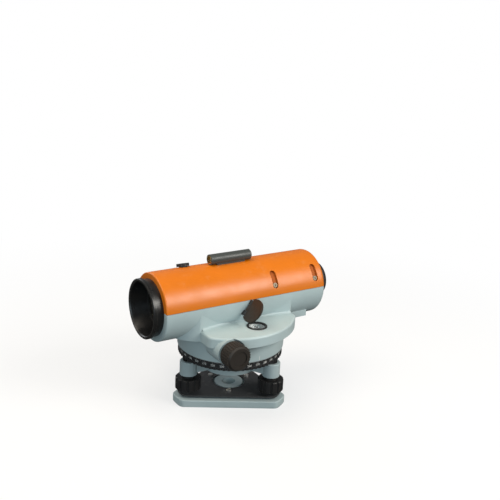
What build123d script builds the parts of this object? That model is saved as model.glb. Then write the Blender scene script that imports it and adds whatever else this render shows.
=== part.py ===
from build123d import *
import os
from math import atan2, cos, degrees, pi, radians, sin, sqrt, tan

# Automatic level: a self-levelling surveying telescope on a levelling base.
# Millimetres. The origin is the centre of the base plate's underside, on the vertical axis. +Z is up.
# The telescope lies along X, with its objective towards -X and its eyepiece towards +X.
# The circular bubble and its mirror are on the -Y side, which is the observer's left.

# Fits between pieces
RUN = 0.05            # radial clearance of a shaft that turns or slides in its bore
SEAT = 0.1            # clearance round a piece that is fixed in its seat
PRESS = 0.02          # radial clearance of a knob or nut fixed on its shaft
GAP = 0.3             # clearance between faces that pass each other
CUT = 1.0             # how far a cutting tool runs past the face that it cuts

# Telescope casing
TUBE_RADIUS = 32.0
TUBE_WALL = 3.5
TUBE_FRONT = -86.0
TUBE_REAR = 88.9
END_WALL = 4.0
FRONT_ROUND = 1.2
REAR_ROUND = 3.6
SEAM_RISE = 3.6           # joint between the upper cover and the body, above the telescope axis
GASKET = 0.3
FLOOR_FRONT = -60.0
FLOOR_REAR = 52.0

# Pedestal and deck
DECK_DROP = 18.0          # deck below the telescope axis
DECK_THICK = 10.0
DECK_RADIUS = 66.3
DECK_CENTRE = -5.0        # centre of the deck's rounded sides, along the telescope
DECK_FRONT = -52.0
DECK_REAR = 49.5
DECK_FRONT_CORNER = 7.0
DECK_REAR_CORNER = 5.0
DECK_ROUND = 2.0
COVE = 3.0                # radius of the inner corner between the walls and the deck
WALL_CORNER = 2.5         # rounding of the pedestal's upright corners
COVE_STRIPS = 4
WALL_INSET = 0.05         # the side walls stand this far inside the tube's side
STRAIGHT = 0.01           # rise of a side that is as good as straight
NOSE_SPREAD = 3.1         # the nose's radius over the tube's radius
WAIST_DEPTH = 6.5         # how far the foot of each side wall is hollowed at mid length
TAIL_REAR = 73.0
TAIL_HALF = 24.0

# Drum under the deck, which holds the axis bearing and the slow motion drive
DRUM_RADIUS = 52.0
DRUM_TAPER = 1.5
DRUM_WALL = 6.0
ROOF_THICK = 3.0
STEP_RISE = 12.0          # height of the drum's wide lower room, under the wheel room
LID_THICK = 2.0
LID_EDGE = 2.0

# Slow motion drive: a worm on a cross shaft, in a wheel held by a friction clutch
WHEEL_TEETH = 80
WHEEL_MODULE = 0.775
WHEEL_THICK = 6.0
WHEEL_WEB = 3.0
WHEEL_RIM = 6.0
WORM_PITCH_RADIUS = 5.0
WORM_TURNS = 5
BACKLASH = 0.22           # taken from the thickness of each tooth and of the worm's thread
FLANK_ANGLE = 20.0
WHEEL_RISE = 4.0          # underside of the wheel above the drum's wide lower room
WHEEL_HEADROOM = 3.0      # from the wheel's upper face to the roof of its room
SHAFT_RADIUS = 3.0
BOSS_RADIUS = 12.4
BOSS_END = 58.5
KNOB_ROOM = 0.8           # the deck's edge is cut back this far round the drive knobs
BUSH_WALL = 2.5
BUSH_LENGTH = 12.0
DRIVE_KNOB_RADIUS = 12.0
DRIVE_KNOB_LENGTH = 15.0
DRIVE_KNOB_GAP = 1.2
DRIVE_KNOB_RIBS = 30

# Vertical axis
SPINDLE_RADIUS = 8.0
SPINDLE_FLANGE = 18.0
SPINDLE_FLANGE_THICK = 2.5
SPINDLE_TAIL = 6.5        # how far the spindle reaches below the levelling head, for its nut
SPIGOT_RADIUS = 6.0
AXIS_BUSH_WALL = 2.5
AXIS_BUSH_LENGTH = 16.0
COLUMN_RADIUS = 15.0
NECK_RADIUS = 12.0
CLUTCH_WASHER = 0.8
NUT_THICK = 4.5
NUT_RADIUS = 12.0

# Horizontal circle
CIRCLE_RADIUS = 50.0
CIRCLE_HEIGHT = 8.0
CIRCLE_WEB = 2.0
CIRCLE_RIM = 3.5

# Levelling base
PLATE_THICK = 7.0
PLATE_TO_KNOB = 7.0       # from the plate's upper face to the foot knobs
PLATE_REACH = 59.0
PLATE_FLAT = 37.0         # distance of the plate's three straight sides from the axis
PLATE_CORNER = 6.0
THREAD_RADIUS = 6.8       # minor radius of the 5/8 inch tripod thread
THREAD_LENGTH = 10.0
THREAD_BOSS = 14.0
FOOT_CIRCLE = 46.0
FOOT_ANGLES = (180.0, 60.0, -60.0)
FOOT_NAMES = ("front", "right", "left")
BALL_RADIUS = 4.0
BALL_SINK = 0.5           # centre of each ball below the plate's upper face
FOOT_NECK = 2.6
FOOT_SHAFT = 3.5
FOOT_KNOB_RADIUS = 12.5
FOOT_KNOB_HEIGHT = 12.0
KNOB_TO_ARM = 3.0         # from the foot knobs to the levelling head at mid travel
FOOT_KNOB_FLUTES = 12
SPRING_PLATE_THICK = 1.2
ARM_HEIGHT = 14.0
CIRCLE_GAP = 2.7          # from the levelling head to the horizontal circle
HUB_RADIUS = 27.0
ARM_BOSS = 8.5
ARM_WIDTH = 13.0
CAP_THICK = 1.6

# Objective
RIM_LIP = 1.4             # how far the rim stands out from the barrel
RIM_FRONT = -96.0
RIM_WIDTH = 3.0
BARREL_ROOM = 2.1         # from the barrel to the casing's inner wall
BARREL_REAR = -68.0
MOUTH_WALL = 1.6
LENS_STEP = 6.4           # from the barrel's outside to the lens's edge
LENS_FRONT = -77.0
LENS_THICK = 7.0
LENS_CROWN = 1.6

# Focusing: a sliding lens cell with a rack, and a pinion on the focus knob's shaft
FOCUS_X = -36.0
GUIDE_RADIUS = 17.5
GUIDE_WALL = 1.9
GUIDE_HALF = 24.0
GUIDE_FEET = 4.5          # height of the guide tube over the floor
CELL_HALF = 10.0
FOCUS_TRAVEL = 12.0
FOCUS_LENS_RADIUS = 13.0
PINION_TEETH = 10
PINION_MODULE = 0.8
PINION_FLANK = 25.0
PINION_DEPTH = 0.68
FOCUS_SHAFT_HOLD = 12.1   # length of the shaft inside the focus knob
RACK_GAP = 1.1            # from the guide tube to the rack and the pinion
RACK_WIDTH = 5.0
RACK_BACK = 3.2
RACK_PITCHES = 13
FOCUS_PAD = 9.0
FOCUS_PAD_PROUD = 2.5     # how far the focus shaft's pad stands out from the tube
FOCUS_KNOB_RADIUS = 15.0
FOCUS_KNOB_LENGTH = 17.0
FOCUS_KNOB_GAP = 1.0
FOCUS_KNOB_RIBS = 36

# Compensator: a prism hung on crossed wires between two fixed prisms
COMP_FRONT = 2.0
COMP_LENGTH = 36.0
COMP_HALF = 16.0
COMP_PLATE = 2.0
COMP_BASE = 3.0
COMP_RISE = 19.0
PRISM_HALF = 7.0
PRISM_SIDE = 14.0
HANGER_RISE = 9.0
WIRE_RADIUS = 0.2
MAGNET_RADIUS = 2.9
MAGNET_POST = 5.2         # length of the posts that hold the magnets
TRAY_HALF = 11.0
TRAY_ROOM = 0.8           # from the hanging tray to the posts, for its swing

# Reticle and eyepiece
MOUNT_RADIUS = 16.0
MOUNT_BORE = 12.0
MOUNT_FRONT = 60.0
MOUNT_REAR = 93.5
RETICLE_RADIUS = 9.0
EYE_RING_RADIUS = 20.0
EYE_RING_REAR = 102.0
EYE_RING_RIBS = 40
EYE_CELL_FRONT = 71.0
EYE_CELL_REAR = 98.0
EYE_LENS_RADIUS = 9.5
EYE_TRAVEL = 2.5

# Circular bubble
VIAL_X = 0.5
VIAL_Y = -44.5
VIAL_RING_RADIUS = 9.6
VIAL_GLASS_RADIUS = 7.6
VIAL_DEPTH = 5.5
VIAL_PROUD = 0.8
VIAL_CROWN = 0.5

# Bubble mirror, leaning back over the bubble and hinged at its inner edge
MIRROR_X = -7.9
MIRROR_Z = 93.5
MIRROR_LEAN = 36.0
MIRROR_OFFSET = 1.75      # hinge line outside the tube's side
MIRROR_RADIUS = 11.6
MIRROR_CENTRE = 8.8
MIRROR_REACH = 7.9
MIRROR_THICK = 2.0
MIRROR_GLASS = 0.8
MIRROR_EDGE = 1.4
KNUCKLE_RADIUS = 1.5
PIN_RADIUS = 0.6

# Sight on top, and the compensator check button
SIGHT_FRONT = -26.7
SIGHT_REAR = 17.5
SIGHT_RADIUS = 5.0
SIGHT_BORE = 3.9
SIGHT_HALF_FOOT = 3.6
BUTTON_X = -49.0
BUTTON_LEAN = 18.0        # the button leans this far to the observer's right, in degrees
BUTTON_RADIUS = 6.0
BUTTON_STEM = 4.0
BUTTON_TOP = 35.0
BUTTON_THICK = 2.6
BUTTON_TRAVEL = 1.2
BUTTON_ROOM = 0.2         # between the pressed cap and the floor of its seat
BUTTON_RIBS = 18

# Screw recesses in the upper cover
RECESS_STATIONS = (30.2, 77.5)
RECESS_WIDTH = 6.2
RECESS_LOW = 18.0
RECESS_HIGH = 50.0
RECESS_DEPTH = 2.2
SCREW_RADIUS = 1.2
SCREW_HEAD = 2.3

# Heights, from the base plate up
BALL_HEIGHT = PLATE_THICK - BALL_SINK
FOOT_KNOB_BOTTOM = PLATE_THICK + PLATE_TO_KNOB
FOOT_KNOB_TOP = FOOT_KNOB_BOTTOM + FOOT_KNOB_HEIGHT
ARM_BOTTOM = FOOT_KNOB_TOP + KNOB_TO_ARM
ARM_TOP = ARM_BOTTOM + ARM_HEIGHT
SPINDLE_BOTTOM = ARM_BOTTOM - SPINDLE_TAIL
CIRCLE_BOTTOM = ARM_TOP + CIRCLE_GAP
CIRCLE_TOP = CIRCLE_BOTTOM + CIRCLE_HEIGHT
DRUM_BOTTOM = CIRCLE_TOP + GAP
STEP_HEIGHT = DRUM_BOTTOM + STEP_RISE
WHEEL_BOTTOM = STEP_HEIGHT + WHEEL_RISE
DRIVE_HEIGHT = WHEEL_BOTTOM + WHEEL_THICK / 2
ROOF_HEIGHT = WHEEL_BOTTOM + WHEEL_THICK + WHEEL_HEADROOM
FLOOR_HEIGHT = ROOF_HEIGHT + ROOF_THICK
FLOOR_DROP = GUIDE_RADIUS + GUIDE_FEET
AXIS_HEIGHT = FLOOR_HEIGHT + FLOOR_DROP
DECK_HEIGHT = AXIS_HEIGHT - DECK_DROP

# Sizes that follow from the driving ones
INNER_RADIUS = TUBE_RADIUS - TUBE_WALL
BARREL_RADIUS = INNER_RADIUS - BARREL_ROOM
RIM_RADIUS = BARREL_RADIUS + RIM_LIP
MOUTH_RADIUS = BARREL_RADIUS - MOUTH_WALL
LENS_RADIUS = BARREL_RADIUS - LENS_STEP
NOSE_RADIUS = TUBE_RADIUS + NOSE_SPREAD
FOCUS_PAD_END = TUBE_RADIUS + FOCUS_PAD_PROUD
FOCUS_KNOB_START = FOCUS_PAD_END + FOCUS_KNOB_GAP
RACK_SIDE = GUIDE_RADIUS + RACK_GAP
FOCUS_SHAFT_LENGTH = FOCUS_KNOB_START + FOCUS_SHAFT_HOLD - RACK_SIDE
SEAM_HEIGHT = AXIS_HEIGHT + SEAM_RISE
DECK_BOTTOM = DECK_HEIGHT - DECK_THICK
WALL_HALF = TUBE_RADIUS - WALL_INSET
WHEEL_PITCH_RADIUS = WHEEL_TEETH * WHEEL_MODULE / 2
WORM_LEAD = pi * WHEEL_MODULE
ADDENDUM = 0.8 * WHEEL_MODULE
DEDENDUM = 1.05 * WHEEL_MODULE
DRIVE_X = -(WHEEL_PITCH_RADIUS + WORM_PITCH_RADIUS)
WHEEL_ROOM = WHEEL_PITCH_RADIUS + ADDENDUM + 2
WORM_ROOM = WORM_PITCH_RADIUS + ADDENDUM + GAP
WORM_HALF = WORM_TURNS * WORM_LEAD / 2
ROOM_RADIUS = DRUM_RADIUS - DRUM_WALL
SHOULDER_HEIGHT = WHEEL_BOTTOM - CLUTCH_WASHER
WEB_TOP = WHEEL_BOTTOM + WHEEL_WEB
SPINDLE_TOP = ROOF_HEIGHT - SPINDLE_FLANGE_THICK
NECK_TOP = SPINDLE_TOP - GAP
PINION_RADIUS = PINION_TEETH * PINION_MODULE / 2
RACK_LINE = AXIS_HEIGHT + PINION_RADIUS
KNOB_START = BOSS_END + DRIVE_KNOB_GAP
SPRING_PLATE_BOTTOM = BALL_HEIGHT + sqrt(BALL_RADIUS ** 2 - (FOOT_NECK + 0.6) ** 2) + 0.1


def along_x(radius, start, end, y=0.0, z=AXIS_HEIGHT):
    """Round bar along X between two stations."""
    return Pos((start + end) / 2, y, z) * Rot(0, 90, 0) * Cylinder(radius, end - start)


def along_y(radius, start, end, x=0.0, z=AXIS_HEIGHT):
    """Round bar along Y between two stations."""
    return Pos(x, (start + end) / 2, z) * Rot(90, 0, 0) * Cylinder(radius, end - start)


def along_z(radius, bottom, top, x=0.0, y=0.0):
    """Round bar along Z between two heights."""
    return Pos(x, y, (bottom + top) / 2) * Cylinder(radius, top - bottom)


def block(x0, x1, y0, y1, z0, z1):
    """Rectangular block between two corners."""
    return Pos((x0 + x1) / 2, (y0 + y1) / 2, (z0 + z1) / 2) * Box(x1 - x0, y1 - y0, z1 - z0)


def turned_x(points):
    """Body of revolution about the telescope axis, from (x, radius) points."""
    profile = make_face(Polyline(*points, close=True))
    ring = revolve(profile, Axis.X)
    return Pos(0, 0, AXIS_HEIGHT) * ring


def turned_z(points):
    """Body of revolution about the vertical axis, from (radius, height) points."""
    profile = make_face(Polyline(*[(r, 0, z) for r, z in points], close=True))
    return revolve(profile, Axis.Z)


def rounded(shape, axis, place, radius):
    """Round the edges that lie at one end of a shape along an axis."""
    return fillet(shape.edges().group_by(axis)[place], radius)


def ribbed_disc(radius, thick, ribs, depth, share=0.5):
    """Disc on the XY plane whose rim has evenly spaced grip grooves."""
    groove_half = share * pi * radius / ribs
    grooves = [Rot(0, 0, 360 / ribs * i) * Pos(radius, 0) * Circle(groove_half) for i in range(ribs)]
    limit = Circle(radius - depth)
    outline = (Circle(radius) - grooves) + limit
    return extrude(outline, thick)


def both_sides(piece):
    """A piece and its mirror image across the telescope's vertical plane."""
    return [piece, mirror(piece, Plane.XZ)]


def foot_places():
    """Positions of the three foot screws."""
    return [(FOOT_CIRCLE * cos(radians(a)), FOOT_CIRCLE * sin(radians(a))) for a in FOOT_ANGLES]


def save(name, shape):
    """Write one node, as one solid or as a group of separate solids."""
    solids = []
    for piece in shape if isinstance(shape, (list, tuple)) else [shape]:
        solids += piece.solids()
    whole = solids[0] if len(solids) == 1 else Compound(children=solids)
    export_step(whole, f"parts/{name}.step")


# Casing

def tube_form():
    """Outer form of the round telescope casing."""
    form = along_x(TUBE_RADIUS, TUBE_FRONT, TUBE_REAR)
    form = rounded(form, Axis.X, -1, REAR_ROUND)
    return rounded(form, Axis.X, 0, FRONT_ROUND)


def tube_hollow():
    """Room inside the casing, with the mouths for the objective and the eyepiece."""
    room = along_x(INNER_RADIUS, TUBE_FRONT + END_WALL, TUBE_REAR - END_WALL)
    front_mouth = along_x(BARREL_RADIUS + SEAT, TUBE_FRONT - CUT, TUBE_FRONT + END_WALL + CUT)
    rear_mouth = along_x(MOUNT_RADIUS + SEAT, TUBE_REAR - END_WALL - CUT, TUBE_REAR + CUT)
    return room + front_mouth + rear_mouth


def pedestal_outline(waist=0.0):
    """Outline of the pedestal: a round nose, and sides hollowed by a depth at mid length."""
    middle = (DECK_FRONT + DECK_REAR) / 2
    depth = max(waist, STRAIGHT)
    outline = ThreePointArc((DECK_FRONT, -WALL_HALF), (DECK_FRONT - nose_reach(), 0), (DECK_FRONT, WALL_HALF))
    outline += ThreePointArc((DECK_FRONT, WALL_HALF), (middle, WALL_HALF - depth), (DECK_REAR, WALL_HALF))
    outline += Line((DECK_REAR, WALL_HALF), (DECK_REAR, -WALL_HALF))
    outline += ThreePointArc((DECK_REAR, -WALL_HALF), (middle, depth - WALL_HALF), (DECK_FRONT, -WALL_HALF))
    return fillet(make_face(outline).vertices(), WALL_CORNER)


def pedestal_form():
    """Pedestal under the tube, with a round nose and side walls that draw in towards their waists."""
    foot = pedestal_outline(WAIST_DEPTH)
    walls = loft([Pos(0, 0, DECK_HEIGHT) * foot, Pos(0, 0, AXIS_HEIGHT) * pedestal_outline()], ruled=True)
    lower = extrude(Pos(0, 0, DECK_BOTTOM) * foot, DECK_THICK)
    return walls + lower


def wall_cove():
    """Round inner corner between the walls and the deck, in flat strips, no wider than the deck."""
    outline = pedestal_outline(WAIST_DEPTH)
    cove = None
    for i in range(COVE_STRIPS):
        low, high = [radians(90 * n / COVE_STRIPS) for n in (i, i + 1)]
        outer, inner = [offset(outline, COVE * (1 - sin(a)) + SEAT, kind=Kind.ARC) for a in (low, high)]
        bottom, top = [DECK_HEIGHT + COVE * (1 - cos(a)) for a in (low, high)]
        strip = loft([Pos(0, 0, bottom) * outer, Pos(0, 0, top) * inner], ruled=True)
        cove = strip if cove is None else cove + strip
    keep = block(DECK_FRONT + DECK_ROUND, DECK_REAR - DECK_ROUND, -DECK_RADIUS, DECK_RADIUS,
                 DECK_HEIGHT, DECK_HEIGHT + 2 * COVE)
    return cove & keep


def nose_reach():
    """How far the round nose stands in front of the deck."""
    return NOSE_RADIUS - sqrt(NOSE_RADIUS ** 2 - WALL_HALF ** 2)


def deck_form():
    """Deck plate: a disc cut off square in front and behind, with rounded corners."""
    length = DECK_REAR - DECK_FRONT
    middle = (DECK_REAR + DECK_FRONT) / 2
    outline = Pos(DECK_CENTRE, 0) * Circle(DECK_RADIUS) & Pos(middle, 0) * Rectangle(length, 2 * DECK_RADIUS)
    by_x = outline.vertices().group_by(Axis.X)
    outline = fillet(by_x[0], DECK_FRONT_CORNER)
    outline = fillet(outline.vertices().group_by(Axis.X)[-1], DECK_REAR_CORNER)
    plate = extrude(Pos(0, 0, DECK_BOTTOM) * outline, DECK_THICK)
    return rounded(plate, Axis.Z, -1, DECK_ROUND)


def main_body():
    """Grey casting: lower half of the tube, pedestal, deck and drum."""
    lower_half = block(TUBE_FRONT - CUT, TUBE_REAR + CUT, -2 * TUBE_RADIUS, 2 * TUBE_RADIUS,
                       0, SEAM_HEIGHT - GASKET)
    body = (tube_form() & lower_half) + pedestal_form() + deck_form() + wall_cove()
    body += Pos(0, 0, (DRUM_BOTTOM + DECK_BOTTOM) / 2) * Cone(
        DRUM_RADIUS, DRUM_RADIUS + DRUM_TAPER, DECK_BOTTOM - DRUM_BOTTOM)
    body += block(0, TAIL_REAR, -TAIL_HALF, TAIL_HALF, DECK_BOTTOM, DECK_HEIGHT)
    for side in (-1, 1):
        inner, outer = sorted((side * ROOM_RADIUS * 0.75, side * BOSS_END))
        body += along_y(BOSS_RADIUS, inner, outer, DRIVE_X, DRIVE_HEIGHT)
    floor = block(FLOOR_FRONT, FLOOR_REAR, -TUBE_RADIUS, TUBE_RADIUS, 0, FLOOR_HEIGHT)
    body -= tube_hollow() - floor
    body += along_y(FOCUS_PAD, INNER_RADIUS - 3.5, FOCUS_PAD_END, FOCUS_X)
    body += screw_lugs()
    body -= drum_hollow()
    body -= drive_holes()
    body -= along_y(SHAFT_RADIUS + BUSH_WALL, 0, FOCUS_PAD_END + CUT, FOCUS_X)
    body -= along_z(VIAL_RING_RADIUS + SEAT, DECK_HEIGHT - VIAL_DEPTH, DECK_HEIGHT + CUT, VIAL_X, VIAL_Y)
    body -= spindle_screw_holes()
    return body


def screw_lugs():
    """Lugs that rise inside the cover and take its four screws."""
    lugs = []
    for x in RECESS_STATIONS:
        ring = along_x(INNER_RADIUS - SEAT, x - 4, x + 4) - along_x(INNER_RADIUS - 3, x - 5, x + 5)
        ring &= block(x - 5, x + 5, 0, TUBE_RADIUS, SEAM_HEIGHT - 12, AXIS_HEIGHT + 14)
        root = along_x(INNER_RADIUS + 1, x - 4, x + 4) - along_x(INNER_RADIUS - 1, x - 5, x + 5)
        root &= block(x - 5, x + 5, 0, TUBE_RADIUS, SEAM_HEIGHT - 12, SEAM_HEIGHT - GASKET - 1)
        lugs += both_sides(ring + root)
    holes = [radial_rod(x, side, SCREW_RADIUS, INNER_RADIUS - 5, INNER_RADIUS + CUT)
             for x in RECESS_STATIONS for side in (-1, 1)]
    return Compound(children=[lug - holes for lug in lugs])


def radial_rod(x, side, radius, start, end, angle=None):
    """Round bar that points outwards from the telescope axis, on one side, near the recess's low end."""
    rise = screw_angle() if angle is None else angle
    place = Pos(x, 0, AXIS_HEIGHT) * Rot(-side * (90 - rise), 0, 0)
    return place * Pos(0, 0, (start + end) / 2) * Cylinder(radius, end - start)


def screw_angle():
    """Angle of the cover screws above the horizontal, at the low end of each recess."""
    return RECESS_LOW + degrees(RECESS_WIDTH / 2 / TUBE_RADIUS)


def drum_hollow():
    """Room in the drum for the circle's column, the wheel and the worm, with the lid's seat."""
    lid_seat = along_z(DRUM_RADIUS - LID_EDGE + SEAT, DRUM_BOTTOM - CUT, DRUM_BOTTOM + LID_THICK)
    wide = along_z(ROOM_RADIUS, DRUM_BOTTOM, STEP_HEIGHT)
    wheel = along_z(WHEEL_ROOM, DRUM_BOTTOM, ROOF_HEIGHT)
    worm = block(DRIVE_X - WORM_ROOM, 0, -WORM_HALF - 4, WORM_HALF + 4, DRUM_BOTTOM, ROOF_HEIGHT)
    spigot = along_z(SPIGOT_RADIUS + SEAT, ROOF_HEIGHT - CUT, FLOOR_HEIGHT + CUT)
    holes = [along_z(SCREW_RADIUS, DRUM_BOTTOM, DRUM_BOTTOM + 9, x, y) for x, y in lid_screw_places()]
    return lid_seat + wide + wheel + worm + spigot + holes


def lid_screw_places():
    """Positions of the four lid screws, in the drum's wall."""
    ring = ROOM_RADIUS + SCREW_RADIUS + 0.3
    return [(ring * cos(radians(a)), ring * sin(radians(a))) for a in (45, 135, 225, 315)]


def drive_holes():
    """Cross hole for the drive shaft, with a bush seat and room for the knob at each boss."""
    holes = along_y(SHAFT_RADIUS + GAP, -BOSS_END - CUT, BOSS_END + CUT, DRIVE_X, DRIVE_HEIGHT)
    for seat in both_sides(along_y(SHAFT_RADIUS + BUSH_WALL, BOSS_END - BUSH_LENGTH, BOSS_END + CUT,
                                   DRIVE_X, DRIVE_HEIGHT)):
        holes += seat
    for clearing in both_sides(along_y(BOSS_RADIUS + KNOB_ROOM, BOSS_END, DECK_RADIUS + CUT,
                                       DRIVE_X, DRIVE_HEIGHT)):
        holes += clearing
    return holes


def spindle_screw_places():
    """Positions of the four screws that hold the spindle under the floor."""
    ring = (SPINDLE_FLANGE + SPINDLE_RADIUS) / 2
    return [(ring * cos(radians(a)), ring * sin(radians(a))) for a in (45, 135, 225, 315)]


def spindle_screw_holes():
    """Clearance holes in the floor for the spindle's screws."""
    holes = along_z(SCREW_RADIUS + SEAT, ROOF_HEIGHT - CUT, FLOOR_HEIGHT + CUT, *spindle_screw_places()[0])
    for x, y in spindle_screw_places()[1:]:
        holes += along_z(SCREW_RADIUS + SEAT, ROOF_HEIGHT - CUT, FLOOR_HEIGHT + CUT, x, y)
    return holes


def recess(x, side):
    """Oblong screw recess round the side of the cover."""
    middle = (RECESS_LOW + RECESS_HIGH) / 2
    length = TUBE_RADIUS * radians(RECESS_HIGH - RECESS_LOW)
    place = Pos(x, 0, AXIS_HEIGHT) * Rot(-side * (90 - middle), 0, 0)
    prism = place * extrude(Rot(0, 0, 90) * SlotOverall(length, RECESS_WIDTH), TUBE_RADIUS + 2)
    skin = along_x(TUBE_RADIUS + 1, x - 6, x + 6) - along_x(TUBE_RADIUS - RECESS_DEPTH, x - 7, x + 7)
    return prism & skin


def upper_cover():
    """Orange half shell over the tube."""
    upper_half = block(TUBE_FRONT - CUT, TUBE_REAR + CUT, -2 * TUBE_RADIUS, 2 * TUBE_RADIUS,
                       SEAM_HEIGHT, AXIS_HEIGHT + 2 * TUBE_RADIUS)
    cover = (tube_form() & upper_half) - tube_hollow()
    for x in RECESS_STATIONS:
        for side in (-1, 1):
            cover -= recess(x, side)
            cover -= radial_rod(x, side, SCREW_RADIUS + SEAT, INNER_RADIUS - CUT, TUBE_RADIUS + CUT)
    cover -= along_y(FOCUS_PAD + GAP, 0, FOCUS_PAD_END + CUT, FOCUS_X)
    cover -= leaned(along_z(BUTTON_STEM + RUN, AXIS_HEIGHT, AXIS_HEIGHT + TUBE_RADIUS + CUT, BUTTON_X))
    seat = AXIS_HEIGHT + BUTTON_TOP - BUTTON_THICK - BUTTON_TRAVEL - BUTTON_ROOM
    cover -= leaned(along_z(BUTTON_RADIUS + GAP, seat, AXIS_HEIGHT + BUTTON_TOP, BUTTON_X))
    return cover


def cover_screws():
    """Four screws at the low ends of the recesses."""
    screws = []
    for x in RECESS_STATIONS:
        for side in (-1, 1):
            head_base = TUBE_RADIUS - RECESS_DEPTH
            head = radial_rod(x, side, SCREW_HEAD, head_base, head_base + 1.3)
            slot = radial_rod(x, side, 0.9, head_base + 0.6, head_base + 2)
            shank = radial_rod(x, side, SCREW_RADIUS, INNER_RADIUS - 4, head_base)
            screws.append(head + shank - slot)
    return screws


def cover_gasket():
    """Thin seal along the seam between the cover and the body."""
    skin = tube_form() - tube_hollow()
    seam = block(TUBE_FRONT - CUT, TUBE_REAR + CUT, -2 * TUBE_RADIUS, 2 * TUBE_RADIUS,
                 SEAM_HEIGHT - GASKET, SEAM_HEIGHT)
    seal = skin & seam
    seal -= along_y(FOCUS_PAD + GAP, 0, FOCUS_PAD_END + CUT, FOCUS_X)
    lip = along_x(TUBE_RADIUS - 0.4, TUBE_FRONT + 0.4, TUBE_REAR - 0.4)
    return seal & lip


def drum_lid():
    """Ring plate that closes the drum from below."""
    lid = along_z(DRUM_RADIUS - LID_EDGE, DRUM_BOTTOM, DRUM_BOTTOM + LID_THICK)
    lid -= along_z(COLUMN_RADIUS + 2, DRUM_BOTTOM - CUT, DRUM_BOTTOM + LID_THICK + CUT)
    for x, y in lid_screw_places():
        lid -= along_z(SCREW_RADIUS + SEAT, DRUM_BOTTOM - CUT, DRUM_BOTTOM + LID_THICK + CUT, x, y)
        lid -= along_z(SCREW_HEAD + SEAT, DRUM_BOTTOM - CUT, DRUM_BOTTOM + 1.2, x, y)
    return lid


def lid_screws():
    """Four countersunk screws of the drum's lid."""
    return [along_z(SCREW_HEAD, DRUM_BOTTOM + 0.1, DRUM_BOTTOM + 1.2, x, y)
            + along_z(SCREW_RADIUS, DRUM_BOTTOM + 1.1, DRUM_BOTTOM + 8, x, y)
            for x, y in lid_screw_places()]


# Slow motion drive

def wheel_outline():
    """Toothed outline of the worm wheel, with a gap on the side that faces the worm."""
    pitch_angle = 2 * pi / WHEEL_TEETH
    half_pitch = (pi * WHEEL_MODULE / 2 - BACKLASH) / 2
    slope = tan(radians(FLANK_ANGLE))
    tip = WHEEL_PITCH_RADIUS + ADDENDUM
    root = WHEEL_PITCH_RADIUS - DEDENDUM
    half_tip = (half_pitch - ADDENDUM * slope) / tip
    half_root = (half_pitch + DEDENDUM * slope) / root
    points = []
    for i in range(WHEEL_TEETH):
        middle = pi + pitch_angle * (i + 0.5)
        for radius, turn in ((root, -half_root), (tip, -half_tip), (tip, half_tip), (root, half_root)):
            points.append((radius * cos(middle + turn), radius * sin(middle + turn)))
    return make_face(Polyline(*points, close=True))


def worm_wheel():
    """Worm wheel with slanting teeth, a thick rim and a thin web."""
    lead_slope = WORM_LEAD / (2 * pi * WORM_PITCH_RADIUS)
    twist = degrees(lead_slope * WHEEL_THICK / 2 / WHEEL_PITCH_RADIUS)
    low = Pos(0, 0, WHEEL_BOTTOM) * Rot(0, 0, -twist) * wheel_outline()
    high = Pos(0, 0, WHEEL_BOTTOM + WHEEL_THICK) * Rot(0, 0, twist) * wheel_outline()
    wheel = loft([low, high], ruled=True)
    wheel -= along_z(WHEEL_PITCH_RADIUS - WHEEL_RIM, WEB_TOP, WHEEL_BOTTOM + WHEEL_THICK + CUT)
    return wheel - along_z(NECK_RADIUS + RUN, WHEEL_BOTTOM - CUT, WEB_TOP + CUT)


def worm_shaft():
    """Cross shaft that carries both knobs, with the worm cut in its middle."""
    half = (pi * WHEEL_MODULE / 2 - BACKLASH) / 2
    slope = tan(radians(FLANK_ANGLE))
    crest = WORM_PITCH_RADIUS + ADDENDUM
    base = WORM_PITCH_RADIUS - DEDENDUM
    sunk = 0.3
    height = WORM_TURNS * WORM_LEAD
    half_crest = half - ADDENDUM * slope
    half_base = half + (DEDENDUM + sunk) * slope
    profile = Polyline((base - sunk, 0, -half_base), (crest, 0, -half_crest),
                       (crest, 0, half_crest), (base - sunk, 0, half_base), close=True)
    thread = sweep(make_face(profile), path=Helix(WORM_LEAD, height, base), is_frenet=True)
    core = Pos(0, 0, height / 2) * Cylinder(base, height + 4)
    centring = Pos(0, 0, -round(WORM_TURNS / 2) * WORM_LEAD)
    body = Pos(DRIVE_X, 0, DRIVE_HEIGHT) * Rot(-90, 0, 0) * centring * (thread + core)
    end = KNOB_START + DRIVE_KNOB_LENGTH - 3
    return body + along_y(SHAFT_RADIUS, -end, end, DRIVE_X, DRIVE_HEIGHT)


def drive_bushes():
    """Two flanged bronze bushes in the bosses."""
    bush = along_y(SHAFT_RADIUS + BUSH_WALL, BOSS_END - BUSH_LENGTH, BOSS_END, DRIVE_X, DRIVE_HEIGHT)
    bush += along_y(SHAFT_RADIUS + BUSH_WALL + 1.5, BOSS_END, BOSS_END + DRIVE_KNOB_GAP - GAP,
                    DRIVE_X, DRIVE_HEIGHT)
    bush -= along_y(SHAFT_RADIUS + RUN, 0, BOSS_END + 5, DRIVE_X, DRIVE_HEIGHT)
    return both_sides(bush)


def grip_knob(radius, length, ribs, depth, bore, bore_depth):
    """Ribbed knob that stands on the XY plane, with a smooth collar, a dished cap and a blind bore."""
    collar = 1.2
    cap = 1.6
    knob = Pos(0, 0, collar) * ribbed_disc(radius, length - collar - cap, ribs, depth)
    knob += Pos(0, 0, collar / 2) * Cylinder(radius - depth, collar)
    crown = Pos(0, 0, length - cap / 2) * Cone(radius - depth, radius - depth - 1.2, cap)
    knob += crown
    dish = Pos(0, 0, length - 0.5) * Cylinder(radius * 0.62, 1.0)
    return knob - dish - Pos(0, 0, bore_depth / 2) * Cylinder(bore, bore_depth)


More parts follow.
